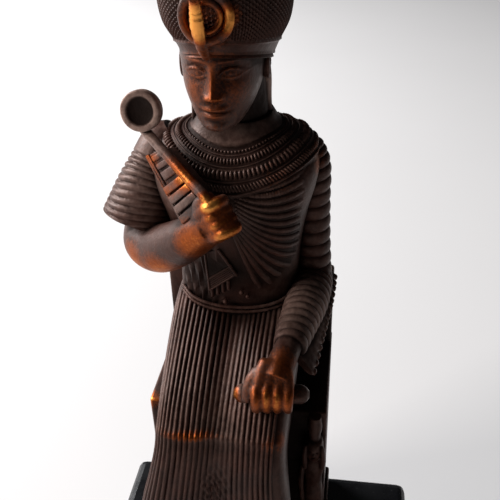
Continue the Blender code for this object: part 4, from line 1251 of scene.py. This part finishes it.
class Nodes:
    """A material's node tree, written one node a line."""

    def __init__(self, name):
        self.material = bpy.data.materials.new(name)
        self.material.use_nodes = True
        self.tree = self.material.node_tree
        self.shader = self.tree.nodes["Principled BSDF"]

    def add(self, kind, inputs=None, output=0, **settings):
        node = self.tree.nodes.new(kind)
        for key, value in settings.items():
            setattr(node, key, value)
        for key, value in (inputs or {}).items():
            self.put(node.inputs[key], value)
        return node.outputs[output]

    def put(self, socket, value):
        if isinstance(value, bpy.types.NodeSocket):
            self.tree.links.new(value, socket)
        else:
            socket.default_value = value

    def look(self, name, value):
        self.put(self.shader.inputs[name], value)

    def math(self, operation, a, b=0.0, clamp=False):
        return self.add("ShaderNodeMath", {0: a, 1: b}, operation=operation, use_clamp=clamp)

    def mix(self, share, a, b):
        node = self.tree.nodes.new("ShaderNodeMix")
        node.data_type = "RGBA"
        for key, value in (("Factor", share), ("A", a), ("B", b)):
            socket = [s for s in node.inputs if s.name == key and s.enabled][0]
            if not isinstance(value, (int, float, bpy.types.NodeSocket)):
                value = (*value, 1)
            self.put(socket, value)
        return [s for s in node.outputs if s.enabled][0]

    def noise(self, scale, detail=4.0, roughness=0.5):
        place = self.add("ShaderNodeTexCoord", output="Object")
        inputs = {"Vector": place, "Scale": scale, "Detail": detail, "Roughness": roughness}
        return self.add("ShaderNodeTexNoise", inputs)

    def span(self, value, low, high, to_low=0.0, to_high=1.0):
        return self.add("ShaderNodeMapRange", {0: value, 1: low, 2: high, 3: to_low, 4: to_high})


BRONZE_DARK = (0.012, 0.0038, 0.0028)
BRONZE_BROWN = (0.050, 0.0155, 0.0100)
# Painted grey sheen for faces that look up and for raised ridges
BRONZE_PAINTED_SHEEN = (0.11, 0.056, 0.043)
# Painted pale highlight
BRONZE_PAINTED_HIGHLIGHT = (0.46, 0.31, 0.255)
# Painted shade for hollows
BRONZE_HOLLOW_SHADE = (0.0018, 0.0007, 0.0006)
SHEEN_TINT = (1.0, 0.74, 0.64)
BRONZE_RUBBED = (0.26, 0.060, 0.0145)
BRONZE_GOLD = (0.74, 0.30, 0.066)
STONE_COLOURS = ((0.006, 0.006, 0.007), (0.014, 0.014, 0.015))
STONE_DUST = (0.08, 0.08, 0.08)
FLOOR_COLOURS = ((0.87, 0.855, 0.85), (0.90, 0.885, 0.88))


def bronze():
    """Dark brown patina, a painted grey sheen where raised or facing up, painted shade that turns hollows
    black, painted pale highlights in places, and rubbed to gold in places.
    """
    n = Nodes("bronze")
    wear, ridge, hollow_shade, dust_and_highlight = (n.add("ShaderNodeAttribute", output="Fac", attribute_name=name)
                                 for name in ("wear", "ridge", "hollow_shade", "dust_and_highlight"))
    blotch = n.noise(110.0, 5.0, 0.62)
    grain = n.noise(1700.0, 3.0, 0.6)
    streak = n.noise(520.0, 4.0, 0.6)
    colour = n.mix(n.span(blotch, 0.36, 0.66), BRONZE_DARK, BRONZE_BROWN)
    up = n.add("ShaderNodeSeparateXYZ", {0: n.add("ShaderNodeNewGeometry", output="Normal")}, output="Z")
    # Painted sheen: grey on faces that look up and on raised ridges, broken up by streaks
    painted_sheen = n.math("MULTIPLY", n.span(up, 0.0, 0.95, 0.0, 0.3), n.span(streak, 0.35, 0.62, 0.2, 1.0))
    painted_sheen = n.math("ADD", painted_sheen, n.math("MULTIPLY", ridge, n.span(streak, 0.3, 0.7, 0.05, 0.55)), clamp=True)
    colour = n.mix(painted_sheen, colour, BRONZE_PAINTED_SHEEN)
    # Painted pale highlights, such as the bright face of the sceptre's ring
    colour = n.mix(n.math("MULTIPLY", dust_and_highlight, n.span(streak, 0.3, 0.65, 0.35, 1.0)), colour, BRONZE_PAINTED_HIGHLIGHT)
    # Painted shade: hollows go nearly black
    colour = n.mix(n.math("MULTIPLY", hollow_shade, 0.9), colour, BRONZE_HOLLOW_SHADE)
    speckled = n.math("ADD", wear, n.span(grain, 0.3, 0.7, -0.1, 0.1))
    colour = n.mix(n.span(speckled, 0.14, 0.5), colour, BRONZE_RUBBED)
    colour = n.mix(n.span(speckled, 0.5, 0.95), colour, BRONZE_GOLD)
    n.look("Base Color", colour)
    n.look("Metallic", n.span(wear, 0.1, 0.45, 0.12, 0.95))
    rough = n.math("ADD", n.span(wear, 0.0, 0.7, 0.44, 0.34), n.span(streak, 0.3, 0.7, -0.06, 0.08))
    n.look("Roughness", n.math("ADD", rough, n.math("MULTIPLY", hollow_shade, 0.25)))
    n.look("Specular IOR Level", 0.26)
    n.look("Specular Tint", (*SHEEN_TINT, 1))
    relief = n.math("ADD", n.math("MULTIPLY", grain, 0.3), n.math("MULTIPLY", streak, 0.7))
    bump = n.add("ShaderNodeBump", {"Strength": 0.6, "Distance": 0.0004, "Height": relief}, output="Normal")
    n.look("Normal", bump)
    return n.material


def black_stone():
    """Black polished stone with a faint cloud and fine scratches."""
    n = Nodes("black stone")
    cloud = n.noise(60.0, 5.0, 0.6)
    dust_and_highlight = n.noise(900.0, 2.0, 0.5)
    colour = n.mix(n.span(cloud, 0.4, 0.7), *STONE_COLOURS)
    colour = n.mix(n.span(dust_and_highlight, 0.66, 0.74, 0.0, 0.25), colour, STONE_DUST)
    n.look("Base Color", colour)
    n.look("Roughness", n.span(cloud, 0.3, 0.7, 0.22, 0.36))
    bump = n.add("ShaderNodeBump", {"Strength": 0.08, "Distance": 0.0002, "Height": dust_and_highlight}, output="Normal")
    n.look("Normal", bump)
    return n.material


def pale_floor():
    n = Nodes("pale floor")
    n.look("Base Color", n.mix(n.span(n.noise(3.0), 0.3, 0.7), *FLOOR_COLOURS))
    n.look("Roughness", 0.9)
    return n.material


def casting():
    """The whole bronze, joined into one skin."""
    pieces = [robe(), torso(), tube("neck", [(*p, NECK_RADIUS) for p in NECK], 64, 30), head(), crown()]
    pieces += collar() + fan_folds() + cobra() + [ear(-1), ear(1)]
    for side in (-1, 1):
        path = [(HEAD_X + side * x, y, z, radius) for x, y, z, radius in STREAMER]
        pieces.append(tube("streamer", path, 16, 30, None, STREAMER_FLAT))
    pieces.append(sleeved_arm("left_upper_arm", LEFT_UPPER_ARM, UPPER_ARM_RIDGES))
    pieces.append(sleeved_arm("left_forearm", LEFT_FOREARM, FOREARM_RIDGES))
    pieces += [right_sleeve(), sceptre(), *panel(), *fall()]
    right_arm = tube("right_forearm", RIGHT_FOREARM, 40, 60)
    left_wrist = tube("left_wrist", LEFT_WRIST, 28, 30)
    pieces.append(fist("right_fist", RIGHT_FIST_PLACE, RIGHT_FIST_AXES, RIGHT_HAND, right_arm))
    pieces.append(fist("left_fist", LEFT_FIST_PLACE, LEFT_FIST_AXES, LEFT_HAND, left_wrist))
    pieces.append(capsule("roll", [(*ROLL_LEFT, ROLL_RADIUS), (*ROLL_RIGHT, ROLL_RADIUS)], 28, 30))
    pieces += [queen(), foot(-1), foot(1), *sash(), *belt(), throne()]
    made = union(pieces)
    made.name = "bronze_casting"
    thinned(made)
    refined(made.data)
    made.data.shade_smooth()
    made.data.set_sharp_from_angle(angle=SHARP_ANGLE)
    paint_wear_shade_and_light(made.data)
    made.data.materials.clear()
    made.data.materials.append(bronze())
    return made


def placed(axes, place):
    """The matrix of an object with these axes at this place."""
    return Matrix([(*row, p) for row, p in zip(np.column_stack(axes), place)] + [(0, 0, 0, 1)])


def area_light(name, place, size, power, colour):
    """A square light at a place, turned to LIGHT_TARGET."""
    data = bpy.data.lights.new(name, "AREA")
    data.shape, data.size, data.energy, data.color = "SQUARE", size, power, colour
    back = unit(np.array(place) - LIGHT_TARGET)
    right = unit(np.cross((0, 0, 1), back))
    up = np.cross(back, right)
    linked(name, data).matrix_world = placed((right, up, back), place)


def stage():
    mesh = bpy.data.meshes.new("floor")
    half = FLOOR_SIZE / 2
    corners = [(-half, -half, 0), (half, -half, 0), (half, half, 0), (-half, half, 0)]
    mesh.from_pydata(corners, [], [(0, 1, 2, 3)])
    floor = linked("floor", mesh)
    mesh.materials.append(pale_floor())
    world = bpy.data.worlds.new("studio")
    world.use_nodes = True
    world.node_tree.nodes["Background"].inputs["Color"].default_value = WORLD_COLOUR
    world.node_tree.nodes["Background"].inputs["Strength"].default_value = WORLD_STRENGTH
    bpy.context.scene.world = world
    for light in LIGHTS:
        area_light(*light)
    data = bpy.data.cameras.new("camera")
    data.lens, data.sensor_width, data.sensor_fit = CAMERA_LENS, SENSOR_WIDTH, "HORIZONTAL"
    data.clip_start = 0.01
    camera = linked("camera", data)
    camera.matrix_world = placed((CAMERA_RIGHT, CAMERA_UP, CAMERA_BACK), CAMERA_PLACE)
    bpy.context.scene.camera = camera


king = casting()
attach(king, "root")
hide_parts("figure")
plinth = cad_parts["plinth"]
plinth.data.materials.clear()
plinth.data.materials.append(black_stone())
stage()
bpy.context.scene.view_settings.view_transform = "Standard"
